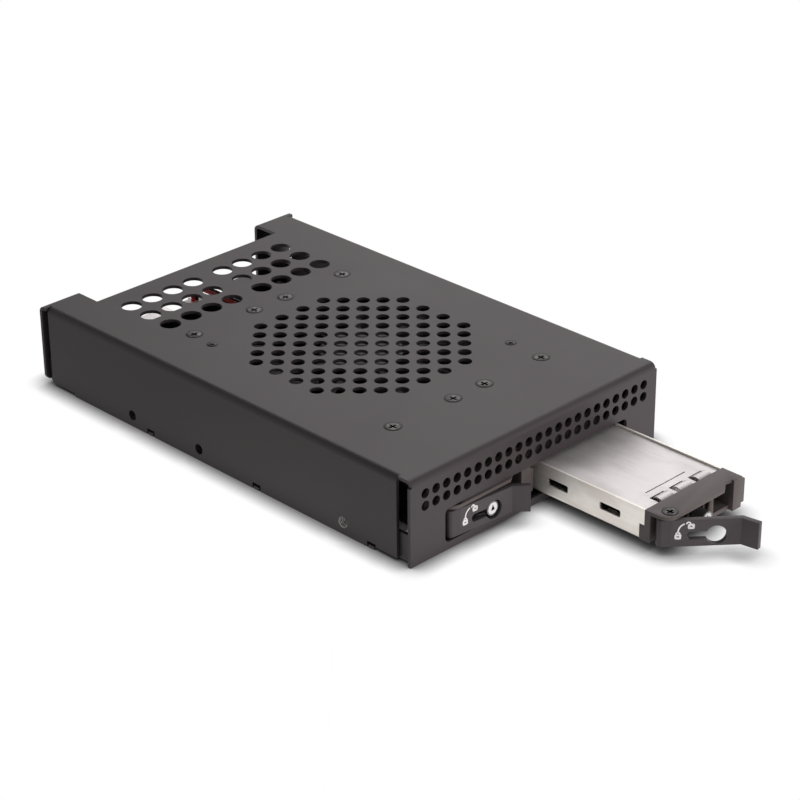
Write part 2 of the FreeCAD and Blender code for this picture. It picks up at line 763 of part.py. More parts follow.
def make_bay_frame(side):
    body = new_body(side + "_bay_frame")
    inner_radius = "bay_bend - bay_sheet"
    runner_x = "bay_inside - runner_width"
    add(body, side + "_bay_fold", "XZ_Plane", [[
        ("-(%s)" % runner_x, "runner_bottom"), ("-(%s)" % runner_x, "runner_top"),
        ("-bay_inside", "runner_top", inner_radius), ("-bay_inside", "deck_bottom", inner_radius),
        ("bay_inside", "deck_bottom", inner_radius), ("bay_inside", "runner_top", inner_radius),
        (runner_x, "runner_top"), (runner_x, "runner_bottom"),
        ("bay_outside", "runner_bottom", "bay_bend"), ("bay_outside", "deck_top", "bay_bend"),
        ("-bay_outside", "deck_top", "bay_bend"), ("-bay_outside", "runner_bottom", "bay_bend"),
    ]], "bay_front_y", "bay_rear_y")
    opening_half = "bay_inside - deck_ledge"
    cut(body, side + "_air_opening", "XY_Plane", [rectangle(
        "-(%s)" % opening_half, opening_half, "front_y + deck_opening_front",
        "front_y + deck_opening_rear", "runner_width")], "deck_bottom - bay_sheet", "deck_top + bay_sheet")
    foot = ("bay_inside", "bay_outside + foot_reach")
    span = foot if side == "right" else tuple("-(%s)" % limit for limit in reversed(foot))
    for name, start in (("front", "foot_front"), ("rear", "foot_rear")):
        first = "front_y + " + start
        last = first + " + foot_length"
        add(body, "%s_%s_foot" % (side, name), "XY_Plane", [rectangle(*span, first, last)],
            "pan_sheet", "pan_sheet + bay_sheet")
        stem = ("bay_inside", "bay_outside")
        stem_span = stem if side == "right" else tuple("-(%s)" % limit for limit in reversed(stem))
        add(body, "%s_%s_foot_stem" % (side, name), "XY_Plane", [rectangle(*stem_span, first, last)],
            "pan_sheet", "runner_top + bay_bend")
    place(body, bay_x(side))
    return keep(body)


def make_standoffs():
    body = new_body("standoff")
    bore = "screw_shank / 2 + screw_clearance"
    turned(body, "standoff_form", [
        (bore, "0"), ("standoff_diameter / 2", "0"),
        ("standoff_diameter / 2", "cover_inside_top - deck_top"), (bore, "cover_inside_top - deck_top"),
    ])
    return group("standoffs", body, screw_spots("deck_top"))


def make_screws():
    large = countersunk_screw("cover_screw", "screw_head", "screw_shank", "screw_length")
    group("cover_screws", large, screw_spots("cage_height"))
    small = countersunk_screw("fan_screw", "fan_screw_head", "fan_screw_shank", "fan_screw_length")
    group("fan_screws", small, fan_screw_spots("cage_height"))
    pan_head = new_body("bracket_screw")
    turned(pan_head, "bracket_screw_form", [
        ("0", "-screw_shank"), ("screw_shank / 2", "-screw_shank"), ("screw_shank / 2", "0"),
        ("screw_head / 2", "0"), ("screw_head / 2", "screw_shank / 2", "screw_shank / 4"),
        ("0", "screw_shank / 2"),
    ])
    doc.recompute()
    screws = []
    for sign in SIDES.values():
        copy = pan_head.Shape.copy()
        copy.rotate(Vector(0, 0, 0), Vector(1, 0, 0), 90)
        copy.translate(Vector(value("%s * bracket_spread / 2" % sign), value("backplane_front_y"),
                              value("bracket_screw_level")))
        screws.append(copy)
    node = doc.addObject("Part::Feature", "backplane_screws")
    node.Label = "backplane_screws"
    node.Shape = Part.makeCompound(screws)
    return keep(node)


def make_fan_frame():
    body = new_body("fan_frame")
    half = "fan_size / 2"
    add(body, "fan_walls", "XY_Plane", [
        rectangle("-" + half, half, "-" + half, half, "fan_corner"), ("0", "0", "fan_bore"),
    ], "fan_bottom", "fan_top")
    hole = "fan_screw_spacing / 2"
    cut(body, "fan_corner_holes", "XY_Plane", [
        (x + hole, y + hole, "fan_screw_shank + 2 * screw_clearance")
        for x in ("-", "") for y in ("-", "")
    ], "fan_bottom - fan_depth", "fan_top + fan_depth")
    add(body, "motor_base", "XY_Plane", [("0", "0", "fan_hub")], "fan_bottom", "fan_bottom + strut_depth")
    strut = add(body, "fan_strut", "XY_Plane", [rectangle(
        "fan_hub / 4", "fan_bore / 2 + strut_depth / 2", *about("0", "strut_width"))],
        "fan_bottom", "fan_bottom + strut_depth")
    struts = body.newObject("PartDesign::PolarPattern", "fan_struts")
    struts.Originals = [strut]
    struts.Axis = (strut.Profile[0], ["N_Axis"])
    struts.Angle = 360
    struts.Occurrences = 4
    body.Tip = struts
    tube_top = "hub_top - fan_hub_wall - fan_top_gap"
    add(body, "bearing_tube", "XY_Plane", [("0", "0", "bearing_diameter + 2 * bearing_wall")],
        "fan_bottom", tube_top)
    cut(body, "bearing_seat", "XY_Plane", [("0", "0", "bearing_diameter + 2 * shaft_running_gap")],
        "fan_bottom + strut_depth / 2", tube_top + " + fan_depth")
    place(body, "inner_offset", "fan_y")
    keep(body)
    bearing = new_body("fan_bearing")
    bore = "shaft_diameter / 2 + shaft_running_gap"
    turned(bearing, "bearing_sleeve", [
        (bore, "fan_bottom + strut_depth / 2"), ("bearing_diameter / 2", "fan_bottom + strut_depth / 2"),
        ("bearing_diameter / 2", tube_top), (bore, tube_top),
    ])
    place(bearing, "inner_offset", "fan_y")
    return keep(bearing)


def make_fan_rotor():
    body = new_body("fan_rotor")
    outer = "fan_hub / 2"
    inner = "fan_hub / 2 - fan_hub_wall"
    shaft = "shaft_diameter / 2"
    shaft_end = "fan_bottom + strut_depth / 2 + fan_top_gap"
    turned(body, "hub_and_shaft", [
        ("0", shaft_end), (shaft, shaft_end), (shaft, "hub_top - fan_hub_wall"),
        (inner, "hub_top - fan_hub_wall"), (inner, "hub_bottom"), (outer, "hub_bottom"),
        (outer, "hub_top", "fan_hub_wall"), ("0", "hub_top"),
    ])
    blade_high = "hub_top - fan_top_gap"
    blade_low = "hub_bottom + fan_top_gap"
    sections = []
    for name, radius, sweep in (("root", "fan_hub / 2 - fan_hub_wall / 2", "blade_root_sweep"),
                                ("tip", "blade_tip_radius", "blade_tip_sweep")):
        section = new_sketch(body, "blade_" + name, "YZ_Plane", radius)
        draw_outline(section, [
            ("-" + sweep, blade_low), ("-%s + 2 * blade_thickness" % sweep, blade_low),
            (sweep, blade_high), (sweep + " - 2 * blade_thickness", blade_high),
        ])
        sections.append(section)
    blade = body.newObject("PartDesign::AdditiveLoft", "blade")
    blade.Profile = sections[0]
    blade.Sections = [sections[1]]
    blade.Ruled = True
    body.Tip = blade
    doc.recompute()
    blades = body.newObject("PartDesign::PolarPattern", "blades")
    blades.Originals = [blade]
    axis = [item for item in body.Origin.OriginFeatures if item.Role == "Z_Axis"][0]
    blades.Axis = (axis, [""])
    blades.Angle = 360
    blades.setExpression("Occurrences", bound("fan_blades"))
    body.Tip = blades
    place(body, "inner_offset", "fan_y")
    return keep(body)


def make_tray(side):
    """All pieces of one tray, drawn as pushed home and placed by how far it is pulled."""
    home = (bay_x(side), "front_y - %s_tray_pull" % side)
    make_tray_shell(side, home)
    make_tray_lid(side, home)
    make_tray_board(side, home)
    make_bezel(side, home)
    make_lock(side, home)
    make_lever(side, home)


def wall_spans(extra):
    """Spans across the tray's two side walls, widened by an extra on both faces."""
    inner = "tray_half - tray_sheet - %s" % extra
    outer = "tray_half + %s" % extra
    return ("left", "-(%s)" % outer, "-(%s)" % inner), ("right", inner, outer)


def make_tray_shell(side, home):
    body = new_body(side + "_tray_shell")
    inside = "tray_half - tray_sheet"
    inner_radius = "tray_bend - tray_sheet"
    add(body, side + "_tray_fold", "XZ_Plane", [[
        ("-tray_half", "tray_bottom", "tray_bend"), ("tray_half", "tray_bottom", "tray_bend"),
        ("tray_half", "tray_top"), (inside, "tray_top"),
        (inside, "tray_inside_floor", inner_radius), ("-(%s)" % inside, "tray_inside_floor", inner_radius),
        ("-(%s)" % inside, "tray_top"), ("-tray_half", "tray_top"),
    ]], "tray_front", "tray_rear")
    slot = rectangle(*about("tray_slot_first", "tray_slot_length"),
                     *about("tray_slot_level", "tray_slot_height"), "tray_slot_height / 4")
    slots = cut(body, side + "_tray_slot", "YZ_Plane", [slot], "-tray_width", "tray_width")
    spread(body, side + "_tray_slots", slots, "H_Axis", "tray_slot_pitch", "tray_slots")
    for wall, low, high in wall_spans("lug_clearance"):
        cut(body, "%s_lug_notch_%s" % (side, wall), "XZ_Plane", [rectangle(
            low, high, "tray_bottom - tray_bend", "tray_bottom + lug_height + lug_clearance")],
            "tray_front - lug_length", "tray_front + lug_length + lug_clearance")
    post_x = "board_width / 2 - post_diameter / 2"
    posts = [(sign + "(%s)" % post_x, y, "post_diameter") for sign in ("-", "")
             for y in ("board_front + post_diameter", "tray_rear - 2 * post_diameter")]
    add(body, side + "_board_posts", "XY_Plane", posts, "tray_bottom + tray_sheet / 2", "board_bottom")
    place(body, *home)
    return keep(body)


def add_leaf(body, side, low, high):
    """Sprung contact leaf: a strip rolled to an arch that rises above the lid."""
    crest = "lid_top + finger_rise"
    axis_level = crest + " - finger_radius"
    sketch = new_sketch(body, side + "_finger_sketch", "XZ_Plane", "tray_front + finger_depth / 2")
    draw_outline(sketch, rectangle(low, high, crest + " - finger_sheet", crest))
    ends = [Vector(value(x), value(axis_level), 0) for x in (low, high)]
    axis_line = sketch.addGeometry(Part.LineSegment(*ends), True)
    sketch.addConstraint(Sketcher.Constraint("Horizontal", axis_line))
    fix_point(sketch, "DistanceX", axis_line, 1, low)
    fix_point(sketch, "DistanceX", axis_line, 2, high)
    fix_point(sketch, "DistanceY", axis_line, 1, axis_level)
    leaf = body.newObject("PartDesign::Revolution", side + "_finger")
    leaf.Profile = sketch
    leaf.ReferenceAxis = (sketch, ["Axis0"])
    leaf.Midplane = True
    leaf.setExpression("Angle", bound("2 * asin(finger_depth / 2 / finger_radius)"))
    body.Tip = leaf
    return leaf


def make_tray_lid(side, home):
    body = new_body(side + "_tray_lid")
    half = "tray_half - tray_sheet - lid_clearance"
    add(body, side + "_lid_plate", "XY_Plane",
        [rectangle("-(%s)" % half, half, "tray_front", "tray_rear")], "lid_bottom", "lid_top")
    past_lid = ("lid_bottom - tray_sheet", "lid_top + tray_sheet")
    slit_rear = "tray_front + lid_slit_from_front + lid_slit_width"
    cut(body, side + "_lid_slit", "XY_Plane", [rectangle(
        "-lid_slit_length / 2", "lid_slit_length / 2", "tray_front + lid_slit_from_front", slit_rear)],
        *past_lid)
    first = "finger_shift - finger_pitch * (finger_count - 1) / 2"
    leaf_low, leaf_high = about(first, "finger_width")
    window = rectangle(leaf_low + " - finger_gap", leaf_high + " + lid_slit_width",
                       "tray_front - lid_slit_width", "tray_front + finger_depth + lid_slit_width")
    windows = cut(body, side + "_finger_window", "XY_Plane", [window], *past_lid)
    spread(body, side + "_finger_windows", windows, "H_Axis", "finger_pitch", "finger_count")
    leaf = add_leaf(body, side, leaf_low, leaf_high + " + 2 * lid_slit_width")
    doc.recompute()
    fingers = body.newObject("PartDesign::LinearPattern", side + "_fingers")
    fingers.Originals = [leaf]
    axis = [item for item in body.Origin.OriginFeatures if item.Role == "X_Axis"][0]
    fingers.Direction = (axis, [""])
    fingers.setExpression("Length", bound("finger_pitch * (finger_count - 1)"))
    fingers.setExpression("Occurrences", bound("finger_count"))
    body.Tip = fingers
    place(body, *home)
    keep(body)


def make_tray_board(side, home):
    body = new_body(side + "_tray_board")
    half = "board_width / 2"
    tongue = "tongue_width / 2"
    add(body, side + "_board_plate", "XY_Plane", [[
        ("-" + half, "board_front"), (half, "board_front"), (half, "tray_rear"), (tongue, "tray_rear"),
        (tongue, "tongue_rear"), ("-" + tongue, "tongue_rear"), ("-" + tongue, "tray_rear"),
        ("-" + half, "tray_rear"),
    ]], "board_bottom", "board_top")
    place(body, *home)
    keep(body)
    socket = new_body(side + "_drive_socket")
    rear = "drive_socket_front + drive_socket_length"
    add(socket, side + "_drive_socket_body", "XY_Plane",
        [rectangle("-" + half, half, "drive_socket_front", rear, "tray_sheet")],
        "board_top", "board_top + drive_socket_height")
    mouth = "board_top + drive_post_height"
    cut(socket, side + "_drive_socket_mouth", "XZ_Plane",
        [rectangle("-" + tongue, tongue, mouth, mouth + " + tongue_thickness")],
        "drive_socket_front - drive_socket_length", rear + " - drive_socket_length / 4")
    place(socket, *home)
    keep(socket)
    post = new_body(side + "_drive_post")
    turned(post, side + "_drive_post_form", [
        ("0", "0"), ("post_diameter / 2", "0"), ("post_diameter / 2", "drive_post_height"),
        ("screw_shank / 2", "drive_post_height"), ("screw_shank / 2", "drive_post_height + tongue_thickness"),
        ("post_diameter / 2", "drive_post_height + tongue_thickness"),
        ("post_diameter / 2", "drive_post_height + 1.8 * tongue_thickness"),
        ("0", "drive_post_height + 1.8 * tongue_thickness"),
    ])
    place(post, home[0], home[1] + " + drive_socket_front - drive_length + 2 * post_diameter", "board_top")
    keep(post)
    pad = box(side + "_thermal_pad", about(home[0], "pad_width"),
              (home[1] + " + drive_socket_front - drive_length + 4 * post_diameter",
               home[1] + " + drive_socket_front - post_diameter"),
              ("lid_bottom - pad_thickness", "lid_bottom"))
    return keep(pad)


def bezel_outline():
    """Plan of the bezel's top plate: round over the pivot, stepped back at the grip."""
    step = "bezel_front + bezel_end_step"
    relief_left = "bezel_right - bezel_relief"
    return [
        ("-tray_half", "tray_front"), ("bezel_right", "tray_front"), ("bezel_right", step),
        (relief_left, step + " + bezel_end_step"), (relief_left + " - bezel_relief_slope", "bezel_front"),
        ("-tray_half", "bezel_front", "bezel_round"),
    ]


def make_bezel(side, home):
    body = new_body(side + "_bezel")
    name = side + "_bezel_"
    step = "bezel_front + bezel_end_step"
    add(body, name + "back", "XZ_Plane",
        [rectangle("-tray_half", "bezel_right", "tray_bottom", "tray_top")], "bezel_back_face", "tray_front")
    add(body, name + "top", "XY_Plane", [bezel_outline()], "bezel_top_bottom", "tray_top")
    add(body, name + "base", "XY_Plane", [[
        ("-tray_half", "bezel_back_face"), ("pivot_x", "bezel_back_face"), ("pivot_x", "pivot_from_front"),
        ("bezel_right", "pivot_from_front"), ("bezel_right", "tray_front"), ("-tray_half", "tray_front"),
    ]], "tray_bottom", "bezel_base_top")
    add(body, name + "pivot_ear", "XY_Plane", [("pivot_x", "pivot_from_front", "pivot_ear")],
        "tray_bottom", "bezel_base_top")
    add(body, name + "column", "XY_Plane",
        [rectangle("bezel_right - bezel_column", "bezel_right", step, "tray_front")],
        "tray_bottom", "tray_top")
    add(body, name + "hook", "XY_Plane", [rectangle(
        "bezel_right - bezel_column / 2", "bezel_right + hook_reach", step, step + " + 2 * hook_reach")],
        "bezel_base_top", "bezel_top_bottom")
    for wall, low, high in wall_spans("0"):
        add(body, "%slug_%s" % (name, wall), "XZ_Plane",
            [rectangle(low, high, "tray_bottom", "tray_bottom + lug_height")],
            "bezel_back_face", "tray_front + lug_length")
    add(body, name + "catch_post", "XY_Plane",
        [("lock_x + catch_post_offset", "pivot_from_front", "catch_post")], "tray_bottom", "tray_top")
    add(body, name + "lock_boss", "XZ_Plane", [("lock_x", "lock_level", "lock_boss")],
        "pivot_from_front + catch_post / 2", "tray_front")
    cut(body, name + "finger_opening", "XZ_Plane", [rectangle(
        "lock_x + lock_boss", "bezel_right - bezel_column", "bezel_base_top", "bezel_top_bottom")],
        "bezel_back_face - bezel_back / 2", "tray_front + bezel_back")
    cut(body, name + "lock_bore", "XZ_Plane",
        [("lock_x", "lock_level", "lock_journal + 2 * pivot_running_gap")],
        "bezel_front", "tray_front + bezel_back")
    cut(body, name + "pivot_bore", "XY_Plane",
        [("pivot_x", "pivot_from_front", "pivot_shank + 2 * pivot_running_gap")],
        "tray_bottom - bezel_base", "tray_top + bezel_top")
    sink = new_sketch(body, name + "sink_sketch", "XZ_Plane", "pivot_from_front")
    head = "pivot_x + pivot_head / 2 + pivot_running_gap"
    sink_depth = "(pivot_head - pivot_shank) / 2"
    draw_outline(sink, [
        ("pivot_x", "tray_top - " + sink_depth),
        ("pivot_x + pivot_shank / 2 + pivot_running_gap", "tray_top - " + sink_depth),
        (head, "tray_top"), (head, "tray_top + bezel_top"), ("pivot_x", "tray_top + bezel_top"),
    ])
    groove = body.newObject("PartDesign::Groove", name + "sink")
    groove.Profile = sink
    groove.ReferenceAxis = (sink, ["Edge5"])
    groove.Angle = 360
    body.Tip = groove
    place(body, *home)
    keep(body)
    screw = countersunk_screw(side + "_pivot_screw", "pivot_head", "pivot_shank",
                              "tray_top - tray_bottom - bezel_base / 4")
    place(screw, home[0] + " + pivot_x", home[1] + " + pivot_from_front", "tray_top")
    return keep(screw)


def lever_face_y(from_pivot):
    """Distance from the front of the closed lever's outer face, at a distance from the pivot."""
    lean = "left_lever_angle * 1deg"
    return "pivot_from_front - lever_setback * cos(%s) - (%s) * sin(%s)" % (lean, from_pivot, lean)


def make_lock(side, home):
    """Lock barrel: a round head with an arrow slot, on a journal in the bezel's boss."""
    body = new_body(side + "_lock_barrel")
    face = lever_face_y("lock_x - pivot_x") + " + lock_recess"
    rear_depth = "tray_front - bezel_back / 4 - (%s)" % face
    shoulder = "pivot_from_front + catch_post / 2 - lever_play - (%s)" % face
    turned(body, side + "_lock_form", [
        ("0", "-(%s)" % rear_depth), ("lock_journal / 2", "-(%s)" % rear_depth),
        ("lock_journal / 2", "-(%s)" % shoulder), ("lock_barrel / 2", "-(%s)" % shoulder),
        ("lock_barrel / 2", "0"), ("0", "0"),
    ])
    cut(body, side + "_arrow_slot", "XY_Plane", [[
        ("-lock_barrel / 6", "-lock_barrel / 5"), ("lock_barrel / 6", "-lock_barrel / 5"),
        ("0", "lock_barrel / 4"),
    ]], "-lock_recess", "lock_recess")
    body.Placement = Placement(Vector(0, 0, 0), Rotation(Vector(1, 0, 0), 90))
    body.setExpression("Placement.Base.x", bound(home[0] + " + lock_x"))
    body.setExpression("Placement.Base.y", bound(home[1] + " + " + face))
    body.setExpression("Placement.Base.z", bound("lock_level"))
    return keep(body)


def make_lever(side, home):
    """Bent lever about its pivot, drawn with its face along X and turned to its angle."""
    body = new_body(side + "_lever")
    bend = "grip_angle * 1deg"
    outer = "-lever_setback"
    inner = "-lever_setback + lever_sheet"
    grip_x = "lever_reach + grip_length * cos(%s)" % bend
    grip_y = "%s - grip_length * sin(%s)" % (outer, bend)
    add(body, side + "_lever_plate", "XY_Plane", [[
        ("-lever_tail", outer, "lever_tail_round"), ("lever_reach", outer), (grip_x, grip_y),
        (grip_x + " + lever_sheet * sin(%s)" % bend, grip_y + " + lever_sheet * cos(%s)" % bend),
        ("lever_reach + lever_sheet * tan(%s / 2)" % bend, inner), ("pivot_boss / 2", inner),
        ("pivot_boss / 2", "lever_tail_back"), ("-lever_tail", "lever_tail_back"),
    ]], "lever_bottom", "lever_top")
    add(body, side + "_lever_boss", "XY_Plane", [("0", "0", "pivot_boss")],
        "lever_boss_bottom", "bezel_top_bottom - lever_play")
    under_boss = ("lever_bottom - lever_sheet", "lever_boss_bottom")
    cut(body, side + "_ear_clearance", "XY_Plane", [("0", "0", "pivot_ear + 2 * lever_play")], *under_boss)
    cut(body, side + "_base_clearance", "XY_Plane",
        [rectangle("0", "2 * lever_tail", inner, "lever_setback")], *under_boss)
    cut(body, side + "_lever_bore", "XY_Plane", [("0", "0", "pivot_shank + 2 * pivot_running_gap")],
        "lever_bottom - lever_height", "lever_top + lever_height")
    hole_x = "lock_x - pivot_x"
    through = ("-3 * lever_setback", "-lever_setback + 1.5 * lever_sheet")
    cut(body, side + "_keyhole", "XZ_Plane", [(hole_x, "lock_level", "keyhole_round")], *through)
    slot_end = hole_x + " - keyhole_slot_length"
    cut(body, side + "_key_slot", "XZ_Plane", [rectangle(
        slot_end, hole_x, *about("lock_level", "keyhole_slot"), "keyhole_slot / 2.2")], *through)
    place(body, home[0] + " + pivot_x", home[1] + " + pivot_from_front",
          turn=-value(side + "_lever_angle"))
    return keep(body)


def make_backplane():
    board = new_body("backplane_board")
    half = "backplane_width / 2"
    add(board, "backplane_plate", "XZ_Plane",
        [rectangle("-" + half, half, "backplane_bottom", "backplane_top")],
        "backplane_front_y", "backplane_rear_y")
    cut(board, "backplane_holes", "XZ_Plane", [
        ("%s * bracket_spread / 2" % sign, "bracket_screw_level", "screw_shank + 2 * screw_clearance")
        for sign in SIDES.values()
    ], "backplane_front_y - backplane_thickness", "backplane_rear_y + backplane_thickness")
    keep(board)
    for side in SIDES:
        make_tray_socket(side)
        make_data_port(side)
    make_power_inlet()


def make_tray_socket(side):
    """Receptacle on the front of the backplane that takes the tray board's tongue."""
    body = new_body(side + "_tray_socket")
    half = "socket_width / 2"
    mouth = "board_thickness + 2 * socket_clearance"
    mouth_half = "tongue_width / 2 + socket_clearance"
    front = "backplane_front_y - socket_depth"
    add(body, side + "_socket_body", "XZ_Plane", [rectangle(
        "-" + half, half, *about("socket_middle", mouth + " + 2 * socket_wall"), "socket_wall / 4")],
        front, "backplane_front_y")
    cut(body, side + "_socket_mouth", "XZ_Plane", [rectangle(
        "-(%s)" % mouth_half, mouth_half, *about("socket_middle", mouth))],
        front + " - socket_wall", "backplane_front_y - socket_wall / 2")
    place(body, bay_x(side))
    return keep(body)


def make_data_port(side):
    """Shielded data receptacle on the rear of the backplane, with its contact tongue."""
    shell = new_body(side + "_data_port")
    rear = "backplane_rear_y + port_length"
    add(shell, side + "_port_shell", "XZ_Plane", [rectangle(
        *about("0", "port_width"), *about("port_level", "port_height"), "port_wall")],
        "backplane_rear_y", rear)
    cut(shell, side + "_port_mouth", "XZ_Plane", [rectangle(
        *about("0", "port_width - 2 * port_wall"), *about("port_level", "port_height - 2 * port_wall"))],
        "backplane_rear_y + port_wall", rear + " + port_wall")
    add(shell, side + "_port_tongue", "XZ_Plane", [rectangle(
        *about("0", "port_width - 6 * port_wall"), *about("port_level", "tongue_thickness"))],
        "backplane_rear_y", rear + " - 3 * port_wall")
    place(shell, side + "_port_x")
    return keep(shell)


def make_power_inlet():
    body = new_body("power_inlet")
    rear = "backplane_rear_y + inlet_length"
    add(body, "inlet_shell", "XZ_Plane", [rectangle(
        *about("0", "inlet_width"), *about("inlet_level", "inlet_height"), "inlet_wall / 2")],
        "backplane_rear_y", rear)
    cut(body, "inlet_mouth", "XZ_Plane", [rectangle(
        *about("0", "inlet_width - 2 * inlet_wall"), *about("inlet_level", "inlet_height - 2 * inlet_wall"))],
        "backplane_rear_y + inlet_wall", rear + " + inlet_wall")
    place(body, "inlet_x")
    return keep(body)


def make_fan_lead():
    """Fan header, its plug, and the two wires from the fan's rear wall to the plug."""
    middle = about("lead_x", "plug_width")
    depth = ("backplane_rear_y", "backplane_rear_y + plug_depth")
    keep(box("fan_header", middle, depth, ("header_bottom", "header_top")))
    keep(box("fan_plug", middle, depth, ("header_top", "plug_top")))
    start_y = value("fan_y + fan_size / 2")
    end_y = value("plug_middle_y")
    level = value("wire_level")
    bend = value("wire_bend")
    radius = value("wire_diameter") / 2
    slant = bend * (1 - math.sqrt(0.5))
    for name, sign in (("fan_lead_red", -1), ("fan_lead_black", 1)):
        x = value("lead_x") + sign * value("wire_spread") / 2
        start = Vector(x, start_y, level)
        bend_start = Vector(x, end_y - bend, level)
        bend_middle = Vector(x, end_y - slant, level - slant)
        bend_end = Vector(x, end_y, level - bend)
        end = Vector(x, end_y, value("plug_top"))
        path = Part.Wire([
            Part.LineSegment(start, bend_start).toShape(),
            Part.Arc(bend_start, bend_middle, bend_end).toShape(),
            Part.LineSegment(bend_end, end).toShape(),
        ])
        section = Part.Wire(Part.Circle(start, Vector(0, 1, 0), radius).toShape())
        wire = doc.addObject("Part::Feature", name)
        wire.Label = name
        wire.Shape = path.makePipeShell([section], True, False)
        keep(wire)


def check_document():
    """Stops if any object failed, any sub-part isn't a valid solid, or a pocket cut nothing."""
    doc.recompute()
    for item in doc.Objects:
        if "Invalid" in item.State or "Error" in item.State:
            raise RuntimeError("failed object: " + item.Name)
        if item.isDerivedFrom("PartDesign::Pocket") or item.isDerivedFrom("PartDesign::Groove"):
            if item.Shape.Volume >= item.BaseFeature.Shape.Volume - 1e-6:
                raise RuntimeError("cut removed nothing: " + item.Name)
    for sub_part in PARTS:
        if sub_part.Shape.isNull() or not sub_part.Shape.isValid() or not sub_part.Shape.Solids:
            raise RuntimeError("bad shape: " + sub_part.Label)


def write_parts():
    os.makedirs("parts", exist_ok=True)
    for sub_part in PARTS:
        sub_part.Shape.exportStep("parts/%s.step" % sub_part.Label)


finish_top_cover(make_top_cover())
make_base_pan()
for bay_side in SIDES:
    make_bay_frame(bay_side)
make_standoffs()
make_screws()
make_fan_frame()
make_fan_rotor()
make_backplane()
make_fan_lead()
for tray_side in SIDES:
    make_tray(tray_side)
check_document()
write_parts()
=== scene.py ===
import json
import math

import bpy
from bpy.props import FloatProperty, FloatVectorProperty, PointerProperty
from bpy.types import Operator, Panel, PropertyGroup
from mathutils import Matrix, Vector

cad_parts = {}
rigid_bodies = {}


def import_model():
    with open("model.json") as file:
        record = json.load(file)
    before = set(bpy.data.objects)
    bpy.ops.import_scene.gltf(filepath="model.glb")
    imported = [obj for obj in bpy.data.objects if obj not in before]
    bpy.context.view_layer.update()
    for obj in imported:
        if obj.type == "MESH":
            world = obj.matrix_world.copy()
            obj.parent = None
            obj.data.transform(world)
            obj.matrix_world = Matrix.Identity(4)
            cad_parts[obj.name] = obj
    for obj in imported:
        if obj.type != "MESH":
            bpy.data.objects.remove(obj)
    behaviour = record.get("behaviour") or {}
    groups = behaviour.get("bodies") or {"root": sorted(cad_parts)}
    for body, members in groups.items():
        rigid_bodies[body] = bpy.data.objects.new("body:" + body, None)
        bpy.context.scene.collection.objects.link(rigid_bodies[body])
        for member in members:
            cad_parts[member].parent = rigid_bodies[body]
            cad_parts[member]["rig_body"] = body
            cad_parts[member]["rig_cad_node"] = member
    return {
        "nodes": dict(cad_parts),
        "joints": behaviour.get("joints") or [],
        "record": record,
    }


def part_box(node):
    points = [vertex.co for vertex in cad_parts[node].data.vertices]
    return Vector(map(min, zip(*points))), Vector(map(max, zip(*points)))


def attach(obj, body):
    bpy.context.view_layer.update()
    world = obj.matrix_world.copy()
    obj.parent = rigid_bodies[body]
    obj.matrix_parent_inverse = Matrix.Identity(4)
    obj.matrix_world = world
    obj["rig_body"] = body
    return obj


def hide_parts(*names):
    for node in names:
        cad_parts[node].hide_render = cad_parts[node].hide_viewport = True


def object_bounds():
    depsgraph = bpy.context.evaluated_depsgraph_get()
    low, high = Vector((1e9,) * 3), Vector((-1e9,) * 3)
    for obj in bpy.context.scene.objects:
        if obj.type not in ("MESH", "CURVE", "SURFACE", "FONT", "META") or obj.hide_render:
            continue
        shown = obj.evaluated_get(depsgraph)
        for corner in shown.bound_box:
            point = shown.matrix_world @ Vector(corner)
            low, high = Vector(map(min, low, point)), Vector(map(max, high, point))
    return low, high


bl_info = {
    "name": "Drive cage finishes",
    "version": (1, 0, 0),
    "blender": (4, 5, 0),
    "location": "3D View > Sidebar > Drive cage",
    "description": "Finishes, printed marks and studio stage for a two-tray drive cage",
    "category": "Object",
}

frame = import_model()
CAD_BOX = [list(corner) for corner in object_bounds()]

MM = 0.001
SIDES = ("left", "right")
JOINTS = {joint["name"]: joint for joint in frame["joints"]}
MOUNTS = {mount["name"]: mount for mount in frame["record"]["mounts"]}
UPRIGHT = Matrix.Rotation(math.radians(90.0), 4, "X")

# Values that several finishes share.
WHITE = (1.0, 1.0, 1.0)
EVEN = (1.0, 1.0, 1.0)
GRAIN_DEPTH = 0.03 * MM
COAT_SPECULAR = 0.62
MOULD_SPECULAR = 0.35
MOULD_ROUGHNESS = 0.48
CONTACT_PITCH = 1.0 * MM
CONTACT_SHARE = 0.6
# Share of each thread pitch left bright; the rest of the pitch is painted shade.
CREST_SHARE = 0.68

# Limits for reading and rounding the CAD meshes.
SCREW_SPACING = 8.0 * MM
MERGE_DISTANCE = 0.002 * MM
FLAT_ANGLE = math.radians(0.5)
SHARP_ANGLE = math.radians(35.0)
SMOOTH_ANGLE = math.radians(30.0)
INSERT_MARGIN = 2.0 * MM

# Proportions of the printed marks.
ROUND_SIDES = 48
ARROW_SIDES = 3
ARROW_SLIMNESS = 0.72
KEYHOLE_RIM = 0.38
SHACKLE_SHARE = 0.38
SHACKLE_SHIFT = 0.4
UPPER_HALF = (0.0, 1.0, 0.0)
ARC_TURN = math.radians(20.0)
ARC_STOP = (-math.cos(ARC_TURN), -math.sin(ARC_TURN), 0.0)

# Sizes on the stage, and where floor and room change from dark to bright in reflections.
FLOOR_SIZE = 12.0
FLOOR_LEFT = (-0.08, 0.0)
FLOOR_REAR = (-0.06, 0.06)
FRONT_SHARE = 0.5
ROOM_LEFT = (0.35, 0.85)
ROOM_HIGH = (0.38, 0.68)
SHADOW_SAMPLES = 16
NEAR_CLIP = 0.01


def length_property(name, description, millimetres):
    return FloatProperty(name=name, description=description, default=millimetres * MM,
                         unit="LENGTH", precision=5)


def colour_property(name, description, colour):
    return FloatVectorProperty(name=name, description=description, default=colour, size=3,
                               subtype="COLOR", min=0.0, max=1.0)


